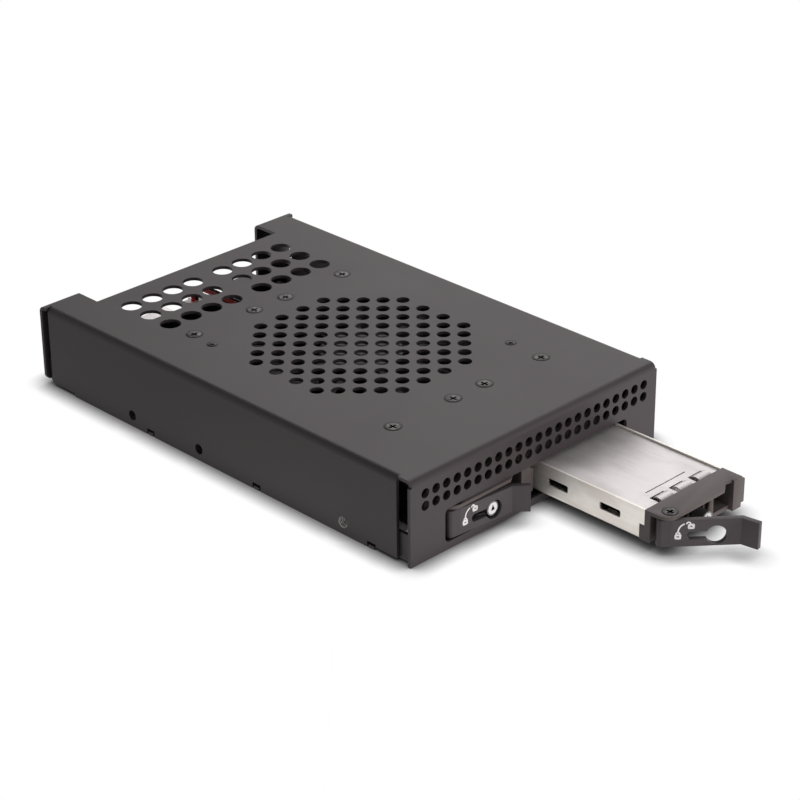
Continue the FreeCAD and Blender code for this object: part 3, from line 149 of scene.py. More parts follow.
class CageFinishes(PropertyGroup):
    """Colours of the cage's materials."""

    # The coat is the cover's and base pan's own colour; on the plated bays it is painted shade.
    coat: colour_property("Coat", "Fine matt coat of cover, base pan and bays", (0.0305, 0.0245, 0.0265))
    bezel: colour_property("Bezel", "Moulded bezel of each tray", (0.088, 0.077, 0.073))
    lever: colour_property("Lever", "Moulded lever of each tray", (0.056, 0.050, 0.052))
    plate: colour_property("Plate", "Plated sheet of tray lids", (0.715, 0.702, 0.695))
    shell: colour_property("Shell", "Plated sheet of tray shells", (0.98, 0.94, 0.865))
    insert: colour_property("Insert", "Metal boss and catch post in a bezel", (0.11, 0.095, 0.085))
    zinc: colour_property("Zinc", "Zinc on posts and plain screws", (0.66, 0.66, 0.655))
    bare: colour_property("Bare", "Bare metal of front side holes and bay feet", (0.90, 0.895, 0.885))
    nickel: colour_property("Nickel", "Dark nickel of the screws", (0.049, 0.0455, 0.0455))
    lock: colour_property("Lock", "Dark plated lock barrel", (0.20, 0.20, 0.20))
    fan: colour_property("Fan", "Moulded fan frame and wheel", (0.014, 0.013, 0.014))
    bronze: colour_property("Bronze", "Sintered bearing sleeve", (0.55, 0.38, 0.20))
    board: colour_property("Board", "Solder mask of the boards", (0.012, 0.012, 0.014))
    gold: colour_property("Gold", "Plated contacts", (0.83, 0.62, 0.26))
    connector: colour_property("Connector", "Moulded sockets and inlet", (0.022, 0.022, 0.024))
    natural: colour_property("Natural", "Pale fan plug and header", (0.78, 0.76, 0.69))
    pad: colour_property("Pad", "Soft heat pad under the tray lid", (0.42, 0.48, 0.55))
    red_wire: colour_property("Red wire", "Insulation of the fan's supply wire", (0.88, 0.05, 0.04))
    black_wire: colour_property("Black wire", "Insulation of the fan's return wire", (0.02, 0.02, 0.02))
    print_ink: colour_property("Print", "Ink of the marks on levers and locks", (0.86, 0.86, 0.86))


class CageDetails(PropertyGroup):
    """Sizes of the small pieces that are added to the frame."""

    edge_round: length_property("Edge round", "Rounding of the moulded edges", 0.22)
    ink_depth: length_property("Ink depth", "Thickness of the printed marks", 0.03)
    lever_face: length_property("Lever face", "Outer face of a lever from its pivot axis", 2.75)
    lever_lean: FloatProperty(name="Lever lean", description="Lean of a closed lever's face",
                              default=math.radians(4.8), subtype="ANGLE")
    closed_along: length_property("Closed mark along", "Closed padlock's place from the pivot", 1.9)
    closed_level: length_property("Closed mark level", "Closed padlock's height", 6.0)
    open_along: length_property("Open mark along", "Open padlock's place from the pivot", 5.4)
    open_level: length_property("Open mark level", "Open padlock's height", 9.1)
    padlock_width: length_property("Padlock width", "Width of a padlock mark's body", 1.85)
    padlock_height: length_property("Padlock height", "Height of a padlock mark's body", 1.6)
    line_width: length_property("Line width", "Width of the printed lines", 0.42)
    ring_diameter: length_property("Ring", "White face of a lock barrel", 3.5)
    arrow_height: length_property("Arrow", "Height of the bare arrow on a lock barrel", 1.9)
    bare_rim: length_property("Bare rim", "Reach of bare metal about a front side hole's axis", 1.64)
    thread_pitch: length_property("Thread pitch", "Pitch of the thread in a front side hole", 0.5)
    foot_top: length_property("Foot top", "Height up to which the bays are bare metal", 1.9)
    insert_low: length_property("Insert low", "Lower limit of the metal boss and post", 4.05)
    insert_high: length_property("Insert high", "Upper limit of the metal boss and post", 11.25)
    boss_reach: length_property("Boss reach", "Half the width of the metal boss about the lock", 3.45)
    post_offset: length_property("Post offset", "From the lock to the far side of the catch post", 5.75)


class CageStage(PropertyGroup):
    """Camera, lamps and floor."""

    camera_place: FloatVectorProperty(name="Camera place", description="Where the camera stands", size=3,
                                      default=(-0.45220, -0.48331, 0.34383), subtype="TRANSLATION")
    camera_turn: FloatVectorProperty(name="Camera turn", description="How the camera is turned", size=3,
                                     default=[math.radians(turn)
                                              for turn in (62.8137, 0.4253, -44.7512)],
                                     subtype="EULER")
    camera_lens: FloatProperty(name="Lens", description="Focal length in millimetres", default=112.42)
    key_place: FloatVectorProperty(name="Key place", description="Where the main lamp hangs", size=3,
                                   default=(0.46, 0.26, 0.56), subtype="TRANSLATION")
    key_power: FloatProperty(name="Key power", description="Power of the main lamp", default=2.2,
                             unit="POWER")
    fill_place: FloatVectorProperty(name="Fill place", description="Where the front lamp stands", size=3,
                                    default=(0.15, -1.00, 0.12), subtype="TRANSLATION")
    fill_power: FloatProperty(name="Fill power", description="Power of the front lamp", default=10.0,
                              unit="POWER")
    tint: colour_property("Tint", "Colour of the lamps and of the room's light", (1.0, 0.955, 0.963))
    lamp_size: FloatProperty(name="Lamp size", description="Side of each lamp", default=0.7,
                             unit="LENGTH")
    room_level: FloatProperty(name="Room level", description="Strength of the room's light",
                              default=0.45)
    room_lean: FloatProperty(name="Room lean", description="How much more light comes from the right",
                             default=0.6)
    high_dark: FloatProperty(name="High dark", description="How dark the room is high up in reflections",
                             default=0.92, subtype="FACTOR", min=0.0, max=1.0)
    mirror_level: FloatProperty(name="Mirror level", description="Strength of the room in reflections",
                                default=1.18)
    left_dark: FloatProperty(name="Left dark", description="How dark the left side is in reflections",
                             default=0.55, subtype="FACTOR", min=0.0, max=1.0)
    floor_bounce: FloatProperty(name="Floor bounce", description="Share of light the floor sends back",
                                default=0.5, subtype="FACTOR", min=0.0, max=1.0)
    shadow_reach: length_property("Shadow reach", "How far the soft shadow on the floor reaches", 7.0)
    shadow_depth: FloatProperty(name="Shadow depth", description="Exponent of the shadow", default=2.5)


def shade(colour, factor):
    """A colour made lighter or darker."""
    return tuple(min(1.0, channel * factor) for channel in colour)


class Value:
    """One output of a shader node; sums and products of it add Math nodes."""

    def __init__(self, tree, socket):
        self.tree = tree
        self.socket = socket

    def maths(self, operation, first, second):
        return self.tree.node("ShaderNodeMath", {"operation": operation}, {0: first, 1: second})

    def __add__(self, other):
        return self.maths("ADD", self, other)

    def __sub__(self, other):
        return self.maths("SUBTRACT", self, other)

    def __rsub__(self, other):
        return self.maths("SUBTRACT", other, self)

    def __mul__(self, other):
        return self.maths("MULTIPLY", self, other)

    def __pow__(self, other):
        return self.maths("POWER", self, other)

    def __gt__(self, other):
        return self.maths("GREATER_THAN", self, other)

    def __lt__(self, other):
        return self.maths("LESS_THAN", self, other)

    __radd__ = __add__
    __rmul__ = __mul__

    def either(self, other):
        return self.maths("MAXIMUM", self, other)

    def least(self, other):
        return self.maths("MINIMUM", self, other)

    def fraction(self):
        return self.tree.node("ShaderNodeMath", {"operation": "FRACT"}, {0: self})


class Nodes:
    """A node tree that is filled by expressions."""

    def __init__(self, tree):
        self.tree = tree

    def ramp(self, factor, low, high):
        """Zero below the low level, one above the high one."""
        return self.node("ShaderNodeMapRange", {"interpolation_type": "SMOOTHSTEP"},
                         {"Value": factor, "From Min": low, "From Max": high})

    def mix(self, factor, first, second):
        return self.node("ShaderNodeMix", {"data_type": "RGBA"}, {0: factor, 6: first, 7: second}, 2)

    def axes(self, place):
        return [self.node("ShaderNodeSeparateXYZ", {}, {0: place}, name) for name in "XYZ"]

    def fill(self, socket, content):
        if isinstance(content, Value):
            self.tree.links.new(content.socket, socket)
        elif socket.type == "RGBA":
            socket.default_value = (*content, 1.0)
        else:
            socket.default_value = content

    def node(self, kind, settings=None, sockets=None, output=0):
        """Adds a node, applies its settings, then fills its sockets, and gives one of its outputs."""
        made = self.tree.nodes.new(kind)
        for key, setting in (settings or {}).items():
            setattr(made, key, setting)
        for key, content in (sockets or {}).items():
            self.fill(made.inputs[key], content)
        return made if output is None else Value(self, made.outputs[output])


class Finish(Nodes):
    """A material on the piece's own coordinates."""

    def __init__(self, name):
        self.material = bpy.data.materials.new(name)
        self.material.use_nodes = True
        super().__init__(self.material.node_tree)
        self.shader = self.tree.nodes["Principled BSDF"]
        self.place = self.node("ShaderNodeTexCoord", output="Object")

    def noise(self, scale, detail=2.0, stretch=EVEN):
        spot = self.node("ShaderNodeMapping", {}, {"Vector": self.place, "Scale": stretch})
        return self.node("ShaderNodeTexNoise", {}, {"Vector": spot, "Scale": scale, "Detail": detail})

    def bump(self, height, strength, depth):
        return self.node("ShaderNodeBump", {},
                         {"Height": height, "Strength": strength, "Distance": depth})

    def tones(self, factor, colour, low, high):
        """From a darker to a lighter tone of one colour."""
        return self.mix(factor, shade(colour, low), shade(colour, high))

    def wear(self, **sockets):
        """Fills the shader's sockets and gives the material."""
        for key, content in sockets.items():
            self.fill(self.shader.inputs[key.replace("_", " ")], content)
        return self.material


def coat_grain(finish, colour):
    """Colour, gloss and relief of a fine powder coat: a tight pebble with slight clouds."""
    pebble = finish.noise(scale=3600)
    clouds = finish.noise(scale=34, detail=3.0)
    tone = finish.ramp(clouds * 0.6 + pebble * 0.4, low=0.30, high=0.70)
    return (finish.tones(tone, colour, low=0.90, high=1.10),
            0.46 + clouds * 0.08 + pebble * 0.06,
            finish.bump(pebble, strength=0.22, depth=GRAIN_DEPTH))


def footed_shade_coat(name, colour, metal, foot_top):
    """Dark powder coat on a plated folded sheet, as painted shade for its shadowed walls; the sheet
    stands on feet of bare metal.
    """
    finish = Finish(name)
    coat, gloss, relief = coat_grain(finish, colour)
    foot = finish.axes(finish.place)[2] < foot_top
    return finish.wear(
        Base_Color=finish.mix(foot, coat, metal),
        Roughness=gloss,
        Specular_IOR_Level=COAT_SPECULAR,
        Normal=relief,
    )


def threaded_coat(name, colour, metal, hole, rim, pitch):
    """Powder coat of a folded sheet, with bare metal in a thread along X, whose grooves are painted
    shade.
    """
    finish = Finish(name)
    coat, gloss, relief = coat_grain(finish, colour)
    across, along, level = finish.axes(finish.place)
    back, rise = along - hole[0], level - hole[1]
    bare = (back * back + rise * rise) < rim * rim
    # Painted shade: stripes across the bare metal turn almost black, standing in for the shade in the
    # thread's grooves.
    groove_shade = (across * (1.0 / pitch)).fraction() > CREST_SHARE
    return finish.wear(
        Base_Color=finish.mix(bare, coat, finish.mix(groove_shade, metal, shade(metal, 0.06))),
        Metallic=bare * 0.3,
        Roughness=gloss - bare * 0.2,
        Specular_IOR_Level=COAT_SPECULAR,
        Normal=relief,
    )


def mould_grain(finish, colour, roughness):
    """Colour, gloss and relief of a moulding with a spark-eroded grain."""
    pebble = finish.noise(scale=2600, detail=3.0)
    clouds = finish.noise(scale=55)
    return (finish.tones(clouds * 0.7 + pebble * 0.3, colour, low=0.88, high=1.12),
            roughness - 0.06 + pebble * 0.12,
            finish.bump(pebble, strength=0.20, depth=GRAIN_DEPTH))


def moulded(name, colour, roughness=MOULD_ROUGHNESS):
    """Moulded plastic."""
    finish = Finish(name)
    plastic, gloss, relief = mould_grain(finish, colour, roughness)
    return finish.wear(Base_Color=plastic, Roughness=gloss, Specular_IOR_Level=MOULD_SPECULAR,
                       Normal=relief)


def moulded_round_metal(name, colour, metal, low, high):
    """Moulded plastic about a metal insert that fills the box between two corners."""
    finish = Finish(name)
    plastic, gloss, relief = mould_grain(finish, colour, MOULD_ROUGHNESS)
    spans = [(place > least) * (place < most)
             for place, least, most in zip(finish.axes(finish.place), low, high)]
    insert = spans[0] * spans[1] * spans[2]
    return finish.wear(
        Base_Color=finish.mix(insert, plastic, metal),
        Metallic=insert,
        Roughness=gloss - insert * 0.12,
        Specular_IOR_Level=MOULD_SPECULAR,
        Normal=relief,
    )


def plated(name, colour, roughness, stretch=(1.0, 0.06, 1.0)):
    """Plated sheet with faint rolling lines along one axis, cloudy patches and slight waves."""
    finish = Finish(name)
    lines = finish.noise(scale=1300, detail=3.0, stretch=stretch)
    clouds = finish.noise(scale=90, detail=4.0, stretch=(1.0, 0.6, 1.0))
    tone = finish.ramp(lines * 0.15 + clouds * 0.85, low=0.34, high=0.62)
    return finish.wear(
        Base_Color=finish.tones(tone, colour, low=0.82, high=1.08),
        Metallic=0.7,
        Roughness=roughness - 0.10 + lines * 0.05 + clouds * 0.18,
        Normal=finish.bump(lines * 0.01 + clouds * 0.3, strength=0.10, depth=0.5 * MM),
    )


def screw_axes(node):
    """Where a node's upright screws stand, each a cluster of points, and how far their heads reach."""
    clusters = []
    for vertex in frame["nodes"][node].data.vertices:
        spot = vertex.co.xy
        for cluster in clusters:
            if (cluster[0] - spot).length < SCREW_SPACING:
                cluster.append(spot)
                break
        else:
            clusters.append([spot])
    spans = [[(min(row), max(row)) for row in zip(*cluster)] for cluster in clusters]
    reach = max(high - low for span in spans for low, high in span) / 2
    return [[(low + high) / 2 for low, high in span] for span in spans], reach


def nickelled(name, colour, axes, reach):
    """Dark nickel on raised screw heads, rubbed brighter in spots, with painted shade darkening them
    towards their rims.
    """
    finish = Finish(name)
    rub = finish.noise(scale=900, detail=3.0)
    across, along = finish.axes(finish.place)[:2]
    nearest = None
    for axis_x, axis_y in axes:
        side, back = across - axis_x, along - axis_y
        square = side * side + back * back
        nearest = square if nearest is None else nearest.least(square)
    outward = nearest * (1.0 / reach ** 2)
    face = finish.tones(finish.ramp(rub, low=0.40, high=0.66), colour, low=0.5, high=2.6)
    # Painted shade: each head turns dark towards its rim, standing in for the shade round a domed head's
    # edge.
    rim = finish.ramp(outward, low=0.48, high=0.68)
    return finish.wear(
        Base_Color=finish.mix(rim, face, shade(colour, 0.12)),
        Metallic=0.85,
        Roughness=0.30 + rub * 0.16,
        Normal=finish.bump(rub * 0.05 - outward, strength=0.6, depth=0.4 * MM),
    )


def masked_board(name, colour, gold, contact_from):
    """Solder mask over traces, with gold contacts behind a line across the board."""
    finish = Finish(name)
    across, along = finish.axes(finish.place)[:2]
    contacts = (along > contact_from) * ((across * (1.0 / CONTACT_PITCH)).fraction() < CONTACT_SHARE)
    traces = finish.node("ShaderNodeTexBrick", {"offset": 0.35}, {
        "Vector": finish.place, "Scale": 160.0, "Mortar Size": 0.06,
        "Color1": (0.0, 0.0, 0.0), "Color2": (0.25, 0.25, 0.25), "Mortar": WHITE}, "Fac")
    mask = finish.mix(traces, colour, shade(colour, 1.7))
    return finish.wear(
        Base_Color=finish.mix(contacts, mask, gold),
        Metallic=contacts,
        Roughness=0.34 - contacts * 0.08 + finish.noise(scale=900) * 0.08,
        Normal=finish.bump(traces, strength=0.15, depth=GRAIN_DEPTH),
    )


def soft_sheath(name, colour, roughness):
    """Soft insulation or rubber with a slight bloom."""
    finish = Finish(name)
    bloom = finish.noise(scale=420, detail=3.0)
    return finish.wear(
        Base_Color=finish.tones(bloom, colour, low=0.85, high=1.15),
        Roughness=roughness + bloom * 0.12,
        Normal=finish.bump(bloom, strength=0.08, depth=GRAIN_DEPTH),
    )


def screen_ink(name, colour):
    """Screen-printed ink, a little uneven where it crosses the grain."""
    finish = Finish(name)
    grain = finish.noise(scale=3000)
    return finish.wear(
        Base_Color=finish.tones(grain, colour, low=0.90, high=1.06),
        Roughness=0.50 + grain * 0.15,
        Normal=finish.bump(grain, strength=0.12, depth=0.02 * MM),
    )


def dress(material, *nodes):
    """Gives CAD pieces a material."""
    for node in nodes:
        slots = frame["nodes"][node].data.materials
        slots.clear()
        slots.append(material)


def both_sides(*names):
    return [side + "_" + name for side in SIDES for name in names]


def deselect():
    if bpy.context.mode != "OBJECT":
        bpy.ops.object.mode_set(mode="OBJECT")
    bpy.ops.object.select_all(action="DESELECT")


def activate(piece):
    deselect()
    piece.select_set(True)
    bpy.context.view_layer.objects.active = piece


def open_mesh(piece):
    activate(piece)
    bpy.ops.object.mode_set(mode="EDIT")


def close_mesh():
    bpy.ops.object.mode_set(mode="OBJECT")


def apply_modifier(piece, kind, **settings):
    activate(piece)
    modifier = piece.modifiers.new(kind.title(), kind)
    for key, setting in settings.items():
        setattr(modifier, key, setting)
    bpy.ops.object.modifier_apply(modifier=modifier.name)


def join(name, pieces):
    """Joins meshes into the first one, under a new name."""
    deselect()
    for piece in pieces:
        piece.select_set(True)
    bpy.context.view_layer.objects.active = pieces[0]
    bpy.ops.object.join()
    pieces[0].name = name
    return pieces[0]


def settle(piece, matrix):
    """Puts a piece in its place and leaves its object at the origin."""
    piece.matrix_world = matrix
    activate(piece)
    bpy.ops.object.transform_apply(location=True, rotation=True, scale=True)


def finish_piece(piece, body, material):
    """Gives a new piece its material and shading, and ties it to its body."""
    piece.data.materials.clear()
    piece.data.materials.append(material)
    activate(piece)
    bpy.ops.object.shade_smooth_by_angle(angle=SMOOTH_ANGLE)
    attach(piece, body)


def rounded_copy(node, body, material, width):
    """Stands for a moulded CAD piece, with its doubles merged and its sharp edges rounded."""
    source = frame["nodes"][node]
    piece = source.copy()
    piece.data = source.data.copy()
    piece.name = node + "_moulding"
    piece.parent = None
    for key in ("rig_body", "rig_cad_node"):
        del piece[key]
    bpy.context.scene.collection.objects.link(piece)
    open_mesh(piece)
    bpy.ops.mesh.customdata_custom_splitnormals_clear()
    bpy.ops.mesh.select_all(action="SELECT")
    bpy.ops.mesh.remove_doubles(threshold=MERGE_DISTANCE)
    bpy.ops.mesh.dissolve_limited(angle_limit=FLAT_ANGLE)
    close_mesh()
    apply_modifier(piece, "BEVEL", width=width, segments=2, limit_method="ANGLE",
                   angle_limit=SHARP_ANGLE, use_clamp_overlap=True)
    finish_piece(piece, body, material)
    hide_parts(node)


def flat_ring(radius, width, centre, keep_from):
    """Flat ring in the XY plane; each direction in keep_from cuts it in half through its centre."""
    deselect()
    bpy.ops.mesh.primitive_circle_add(vertices=ROUND_SIDES, radius=radius, fill_type="NGON",
                                      location=centre)
    ring = bpy.context.object
    open_mesh(ring)
    bpy.ops.mesh.select_all(action="SELECT")
    bpy.ops.mesh.inset(thickness=width)
    bpy.ops.mesh.delete(type="FACE")
    for direction in keep_from:
        bpy.ops.mesh.select_all(action="SELECT")
        bpy.ops.mesh.bisect(plane_co=centre, plane_no=direction, clear_inner=True)
    close_mesh()
    return ring


def padlock_mark(details, along, level, shackle_shift):
    """Flat padlock: a rounded body with a bare keyhole, and a half-ring shackle."""
    width, height, line = details.padlock_width, details.padlock_height, details.line_width
    deselect()
    bpy.ops.mesh.primitive_plane_add(size=1.0, location=(along, level, 0.0))
    body = bpy.context.object
    open_mesh(body)
    bpy.ops.mesh.select_all(action="SELECT")
    bpy.ops.transform.resize(value=(width, height, 1.0))
    bpy.ops.mesh.bevel(affect="VERTICES", offset=line / 2, segments=3)
    bpy.ops.mesh.select_all(action="SELECT")
    bpy.ops.mesh.inset(thickness=height * KEYHOLE_RIM)
    bpy.ops.mesh.delete(type="FACE")
    close_mesh()
    centre = (along + shackle_shift, level + height / 2, 0.0)
    shackle = flat_ring(width * SHACKLE_SHARE, line, centre, [UPPER_HALF])
    return [body, shackle]


def lever_mark_place(side, details):
    """Matrix from the XY plane to the outer face of a lever, with X from its pivot and Y up."""
    swing = JOINTS[side + "_lever_swing"]
    lean = details.lever_lean - math.radians(swing["range_deg"][0])
    turn = Matrix.Rotation(-lean, 4, "Z") @ UPRIGHT
    pivot = Vector((swing["pos_m"][0], swing["pos_m"][1], 0.0))
    outward = turn @ Vector((0.0, 0.0, 1.0))
    return Matrix.Translation(pivot + outward * details.lever_face) @ turn


class CAGE_OT_finish_casing(Operator):
    """Coats the folded cover and base pan, and plates their screws"""

    bl_idname = "cage.finish_casing"
    bl_label = "Finish casing"

    def execute(self, context):
        finishes = context.scene.cage_finishes
        details = context.scene.cage_details
        mount = MOUNTS["left_side_holes"]
        front_hole = (mount["pos_m"][1] - mount["dims"]["spacing_x_mm"] * MM / 2, mount["pos_m"][2])
        coat = threaded_coat("threaded_coat", finishes.coat, finishes.bare, front_hole,
                             details.bare_rim, details.thread_pitch)
        dress(coat, "top_cover", "base_pan")
        for node in ("cover_screws", *both_sides("pivot_screw")):
            dress(nickelled(node + "_nickel", finishes.nickel, *screw_axes(node)), node)
        dress(nickelled("fan_screw_black", finishes.fan, *screw_axes("fan_screws")), "fan_screws")
        return {"FINISHED"}


class CAGE_OT_finish_bays(Operator):
    """Coats the plated tray bays dark as painted shade, leaving their feet bare, and plates the posts
    that carry them
    """

    bl_idname = "cage.finish_bays"
    bl_label = "Finish bays"

    def execute(self, context):
        finishes = context.scene.cage_finishes
        foot_top = context.scene.cage_details.foot_top
        # Painted shade: the plated bays wear the dark coat so their shadowed walls read black; only
        # their feet show the bare metal.
        dress(footed_shade_coat("bay_shade_coat", finishes.coat, finishes.bare, foot_top), *both_sides("bay_frame"))
        dress(plated("zinc", finishes.zinc, roughness=0.36, stretch=(1.0, 1.0, 0.2)),
              "standoffs", "backplane_screws", *both_sides("drive_post"))
        return {"FINISHED"}


class CAGE_OT_finish_fan(Operator):
    """Finishes the fan, its bearing and its lead"""

    bl_idname = "cage.finish_fan"
    bl_label = "Finish fan"

    def execute(self, context):
        finishes = context.scene.cage_finishes
        dress(moulded("fan_moulding", finishes.fan, roughness=0.42), "fan_frame", "fan_rotor")
        dress(plated("bronze", finishes.bronze, roughness=0.45, stretch=EVEN), "fan_bearing")
        dress(moulded("natural_moulding", finishes.natural, roughness=0.40), "fan_plug", "fan_header")
        dress(soft_sheath("red_sheath", finishes.red_wire, roughness=0.30), "fan_lead_red")
        dress(soft_sheath("black_sheath", finishes.black_wire, roughness=0.30), "fan_lead_black")
        return {"FINISHED"}


class CAGE_OT_finish_backplane(Operator):
    """Finishes the backplane, its sockets and its ports"""

    bl_idname = "cage.finish_backplane"
    bl_label = "Finish backplane"

    def execute(self, context):
        finishes = context.scene.cage_finishes
        behind = CAD_BOX[1][1]
        dress(masked_board("backplane_mask", finishes.board, finishes.gold, behind), "backplane_board")
        dress(moulded("connector_moulding", finishes.connector, roughness=0.40), "power_inlet",
              *both_sides("tray_socket", "drive_socket"))
        dress(plated("port_plate", finishes.plate, roughness=0.26), *both_sides("data_port"))
        return {"FINISHED"}


class CAGE_OT_finish_trays(Operator):
    """Plates the trays and finishes what they hold"""

    bl_idname = "cage.finish_trays"
    bl_label = "Finish trays"

    def execute(self, context):
        finishes = context.scene.cage_finishes
        dress(plated("lid_plate", finishes.plate, roughness=0.48), *both_sides("tray_lid"))
        dress(plated("shell_plate", finishes.shell, roughness=0.50), *both_sides("tray_shell"))
        dress(soft_sheath("heat_pad", finishes.pad, roughness=0.65), *both_sides("thermal_pad"))
        for side in SIDES:
            board_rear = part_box(side + "_tray_board")[1].y
            shell_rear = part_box(side + "_tray_shell")[1].y
            contacts_from = (board_rear + 2 * shell_rear) / 3
            dress(masked_board(side + "_board_mask", finishes.board, finishes.gold, contacts_from),
                  side + "_tray_board")
        return {"FINISHED"}


class CAGE_OT_round_mouldings(Operator):
    """Rounds the edges of the moulded bezels and levers"""

    bl_idname = "cage.round_mouldings"
    bl_label = "Round mouldings"

    def execute(self, context):
        finishes = context.scene.cage_finishes
        details = context.scene.cage_details
        width = details.edge_round
        lever = moulded("lever_moulding", finishes.lever)
        for side in SIDES:
            lock = JOINTS[side + "_lock_turn"]["pos_m"]
            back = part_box(side + "_tray_lid")[0].y - INSERT_MARGIN
            low = (lock[0] - details.boss_reach, CAD_BOX[0][1], details.insert_low)
            high = (lock[0] + details.post_offset, back, details.insert_high)
            bezel = moulded_round_metal(side + "_bezel_moulding", finishes.bezel, finishes.insert,
                                        low, high)
            rounded_copy(side + "_bezel", side + "_tray", bezel, width)
            rounded_copy(side + "_lever", side + "_lever_arm", lever, width)
        return {"FINISHED"}


class CAGE_OT_print_lever_marks(Operator):
    """Prints the closed and open padlocks and the arc between them on each lever"""

    bl_idname = "cage.print_lever_marks"
    bl_label = "Print lever marks"

    def execute(self, context):
        details = context.scene.cage_details
        ink = screen_ink("mark_ink", context.scene.cage_finishes.print_ink)
        rise = details.padlock_height / 2 + details.padlock_width * SHACKLE_SHARE
        arc_start = Vector((details.closed_along, details.closed_level + rise, 0.0))
        arc_end = Vector((details.open_along - details.padlock_width / 2,
                          details.open_level + rise, 0.0))
        radius = arc_end.x - arc_start.x
        for side in SIDES:
            pieces = padlock_mark(details, details.closed_along, details.closed_level, 0.0)
            pieces += padlock_mark(details, details.open_along, details.open_level,
                                   -details.padlock_width * SHACKLE_SHIFT)
            centre = (arc_start.x + radius, arc_start.y, 0.0)
            pieces.append(flat_ring(radius + details.line_width / 2, details.line_width, centre,
                                    [ARC_STOP, UPPER_HALF]))
            marks = join(side + "_lever_marks", pieces)
            apply_modifier(marks, "SOLIDIFY", thickness=details.ink_depth, offset=1.0)
            settle(marks, lever_mark_place(side, details) @ marks.matrix_world)
            finish_piece(marks, side + "_lever_arm", ink)
        return {"FINISHED"}


class CAGE_OT_print_lock_faces(Operator):
    """Prints the white face with a bare arrow on each lock barrel"""

    bl_idname = "cage.print_lock_faces"
    bl_label = "Print lock faces"

    def execute(self, context):
        details = context.scene.cage_details
        finishes = context.scene.cage_finishes
        dress(plated("lock_plate", finishes.lock, roughness=0.32, stretch=EVEN),
              *both_sides("lock_barrel"))
        ink = screen_ink("lock_ink", finishes.print_ink)
        for side in SIDES:
            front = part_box(side + "_lock_barrel")[0].y
            axis = JOINTS[side + "_lock_turn"]["pos_m"]
            deselect()
            bpy.ops.mesh.primitive_circle_add(vertices=ROUND_SIDES, radius=details.ring_diameter / 2)
            face = bpy.context.object
            open_mesh(face)
            bpy.ops.mesh.select_all(action="DESELECT")
            bpy.ops.mesh.primitive_circle_add(vertices=ARROW_SIDES, radius=details.arrow_height * 2 / 3)
            bpy.ops.transform.resize(value=(ARROW_SLIMNESS, 1.0, 1.0))
            bpy.ops.mesh.subdivide(number_cuts=ROUND_SIDES // ARROW_SIDES - 1)
            bpy.ops.mesh.select_all(action="SELECT")
            bpy.ops.mesh.bridge_edge_loops()
            close_mesh()
            face.name = side + "_lock_face"
            apply_modifier(face, "SOLIDIFY", thickness=2 * details.ink_depth, offset=0.0)
            settle(face, Matrix.Translation((axis[0], front, axis[2])) @ UPRIGHT)
            finish_piece(face, side + "_lock", ink)
        return {"FINISHED"}


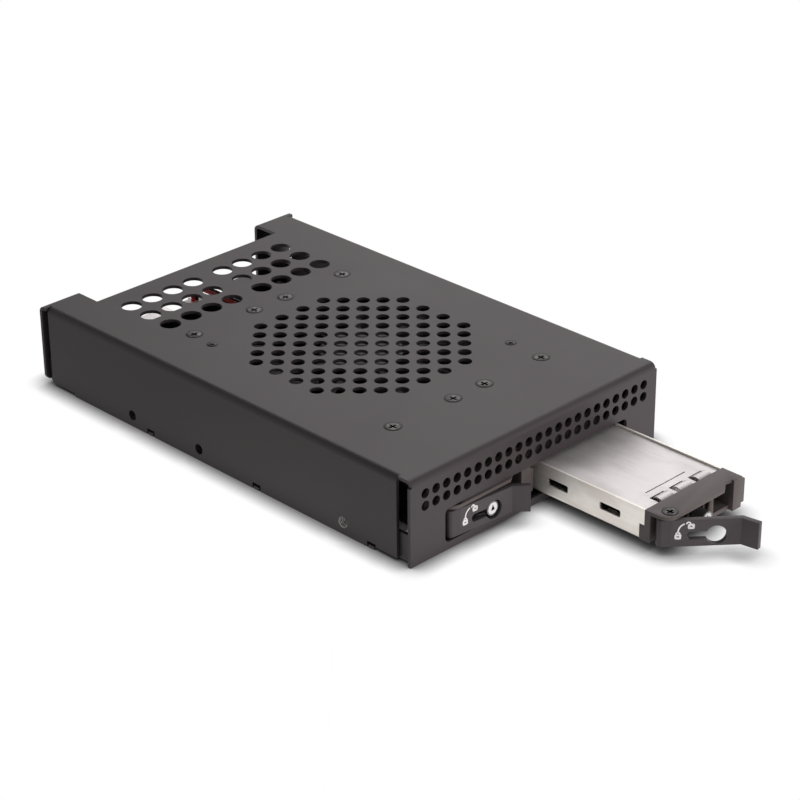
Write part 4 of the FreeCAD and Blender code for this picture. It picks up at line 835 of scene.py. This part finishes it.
class CAGE_OT_set_stage(Operator):
    """Sets the floor, lamps, room light and camera"""

    bl_idname = "cage.set_stage"
    bl_label = "Set stage"

    def execute(self, context):
        stage = context.scene.cage_stage
        self.lay_floor(stage)
        self.hang_lamps(stage)
        self.light_room(context.scene, stage)
        self.place_camera(context.scene, stage)
        context.scene.view_settings.view_transform = "Standard"
        return {"FINISHED"}

    def seen_rays(self, nodes):
        """One for rays from the camera; and one for rays in a reflection or through glass."""
        camera, mirror, glass = [nodes.node("ShaderNodeLightPath", output=name) for name in (
            "Is Camera Ray", "Is Glossy Ray", "Is Transmission Ray")]
        return camera, mirror.either(glass)

    def lay_floor(self, stage):
        deselect()
        bpy.ops.mesh.primitive_plane_add(size=FLOOR_SIZE, location=(0.0, 0.0, 0.0))
        floor = bpy.context.object
        floor.name = "studio_floor"
        material = bpy.data.materials.new("studio_floor")
        material.use_nodes = True
        material.node_tree.nodes.clear()
        nodes = Nodes(material.node_tree)
        open_sky = nodes.node("ShaderNodeAmbientOcclusion", {"samples": SHADOW_SAMPLES},
                              {"Distance": stage.shadow_reach}, "AO")
        camera, mirrored = self.seen_rays(nodes)
        across, along = nodes.axes(nodes.node("ShaderNodeTexCoord", output="Object"))[:2]
        rear = FRONT_SHARE + (1.0 - FRONT_SHARE) * nodes.ramp(along, *FLOOR_REAR)
        left = (1.0 - nodes.ramp(across, *FLOOR_LEFT)) * rear
        level = camera + (1.0 - camera) * (1.0 - left * stage.left_dark) * stage.mirror_level
        depth = 1.0 + camera * (stage.shadow_depth - 1.0)
        shown = nodes.node("ShaderNodeEmission", {}, {
            "Color": nodes.mix(camera, stage.tint, WHITE), "Strength": open_sky ** depth * level})
        bounce = stage.floor_bounce
        matt = nodes.node("ShaderNodeBsdfDiffuse", {}, {"Color": (bounce, bounce, bounce)})
        surface = nodes.node("ShaderNodeMixShader", {}, {0: camera.either(mirrored), 1: matt, 2: shown})
        nodes.node("ShaderNodeOutputMaterial", {}, {"Surface": surface}, output=None)
        floor.data.materials.append(material)

    def hang_lamps(self, stage):
        for name, place, power, mirrored in (("key_lamp", stage.key_place, stage.key_power, True),
                                             ("fill_lamp", stage.fill_place, stage.fill_power, False)):
            deselect()
            bpy.ops.object.light_add(type="AREA", location=place)
            lamp = bpy.context.object
            lamp.name = name
            lamp.data.size = stage.lamp_size
            lamp.data.energy = power
            lamp.data.color = stage.tint
            lamp.visible_glossy = mirrored
            lamp.rotation_euler = (-Vector(place)).to_track_quat("-Z", "Y").to_euler()

    def light_room(self, scene, stage):
        scene.world = bpy.data.worlds.new("studio_room")
        scene.world.use_nodes = True
        scene.world.node_tree.nodes.clear()
        nodes = Nodes(scene.world.node_tree)
        camera, mirrored = self.seen_rays(nodes)
        view = nodes.axes(nodes.node("ShaderNodeTexCoord", output="Generated"))
        left = 1.0 - nodes.ramp(view[0], *ROOM_LEFT)
        high = nodes.ramp(view[2], *ROOM_HIGH)
        bright = (1.0 - high * stage.high_dark) * (1.0 - left * stage.left_dark)
        mirror_level = bright * stage.mirror_level
        lit_level = (1.0 + view[0] * stage.room_lean) * stage.room_level
        unseen_level = mirrored * mirror_level + (1.0 - mirrored) * lit_level
        strength = camera + (1.0 - camera) * unseen_level
        colour = nodes.mix(camera, stage.tint, WHITE)
        light = nodes.node("ShaderNodeBackground", {}, {"Color": colour, "Strength": strength})
        nodes.node("ShaderNodeOutputWorld", {}, {"Surface": light}, output=None)

    def place_camera(self, scene, stage):
        deselect()
        bpy.ops.object.camera_add(location=stage.camera_place, rotation=stage.camera_turn)
        camera = bpy.context.object
        camera.name = "studio_camera"
        camera.data.lens = stage.camera_lens
        camera.data.clip_start = NEAR_CLIP
        scene.camera = camera


class CAGE_PT_panel(Panel):
    """Lists the finishes, sizes and steps"""

    bl_idname = "CAGE_PT_panel"
    bl_label = "Drive cage"
    bl_space_type = "VIEW_3D"
    bl_region_type = "UI"
    bl_category = "Drive cage"

    def draw(self, context):
        for operator in STEPS:
            self.layout.operator(operator.bl_idname)
        for group in PROPERTY_GROUPS:
            settings = getattr(context.scene, group)
            column = self.layout.column(heading=group)
            for key in settings.__annotations__:
                column.prop(settings, key)


PROPERTY_GROUPS = {"cage_finishes": CageFinishes, "cage_details": CageDetails, "cage_stage": CageStage}
STEPS = (
    CAGE_OT_finish_casing, CAGE_OT_finish_bays, CAGE_OT_finish_fan, CAGE_OT_finish_backplane,
    CAGE_OT_finish_trays, CAGE_OT_round_mouldings, CAGE_OT_print_lever_marks, CAGE_OT_print_lock_faces,
    CAGE_OT_set_stage,
)
CLASSES = (*PROPERTY_GROUPS.values(), *STEPS, CAGE_PT_panel)


def register():
    for cls in CLASSES:
        bpy.utils.register_class(cls)
    for name, group in PROPERTY_GROUPS.items():
        setattr(bpy.types.Scene, name, PointerProperty(type=group))


def unregister():
    for name in PROPERTY_GROUPS:
        delattr(bpy.types.Scene, name)
    for cls in reversed(CLASSES):
        bpy.utils.unregister_class(cls)


def main():
    register()
    for step in STEPS:
        area, name = step.bl_idname.split(".")
        getattr(getattr(bpy.ops, area), name)()
    deselect()


if __name__ == "__main__":
    main()
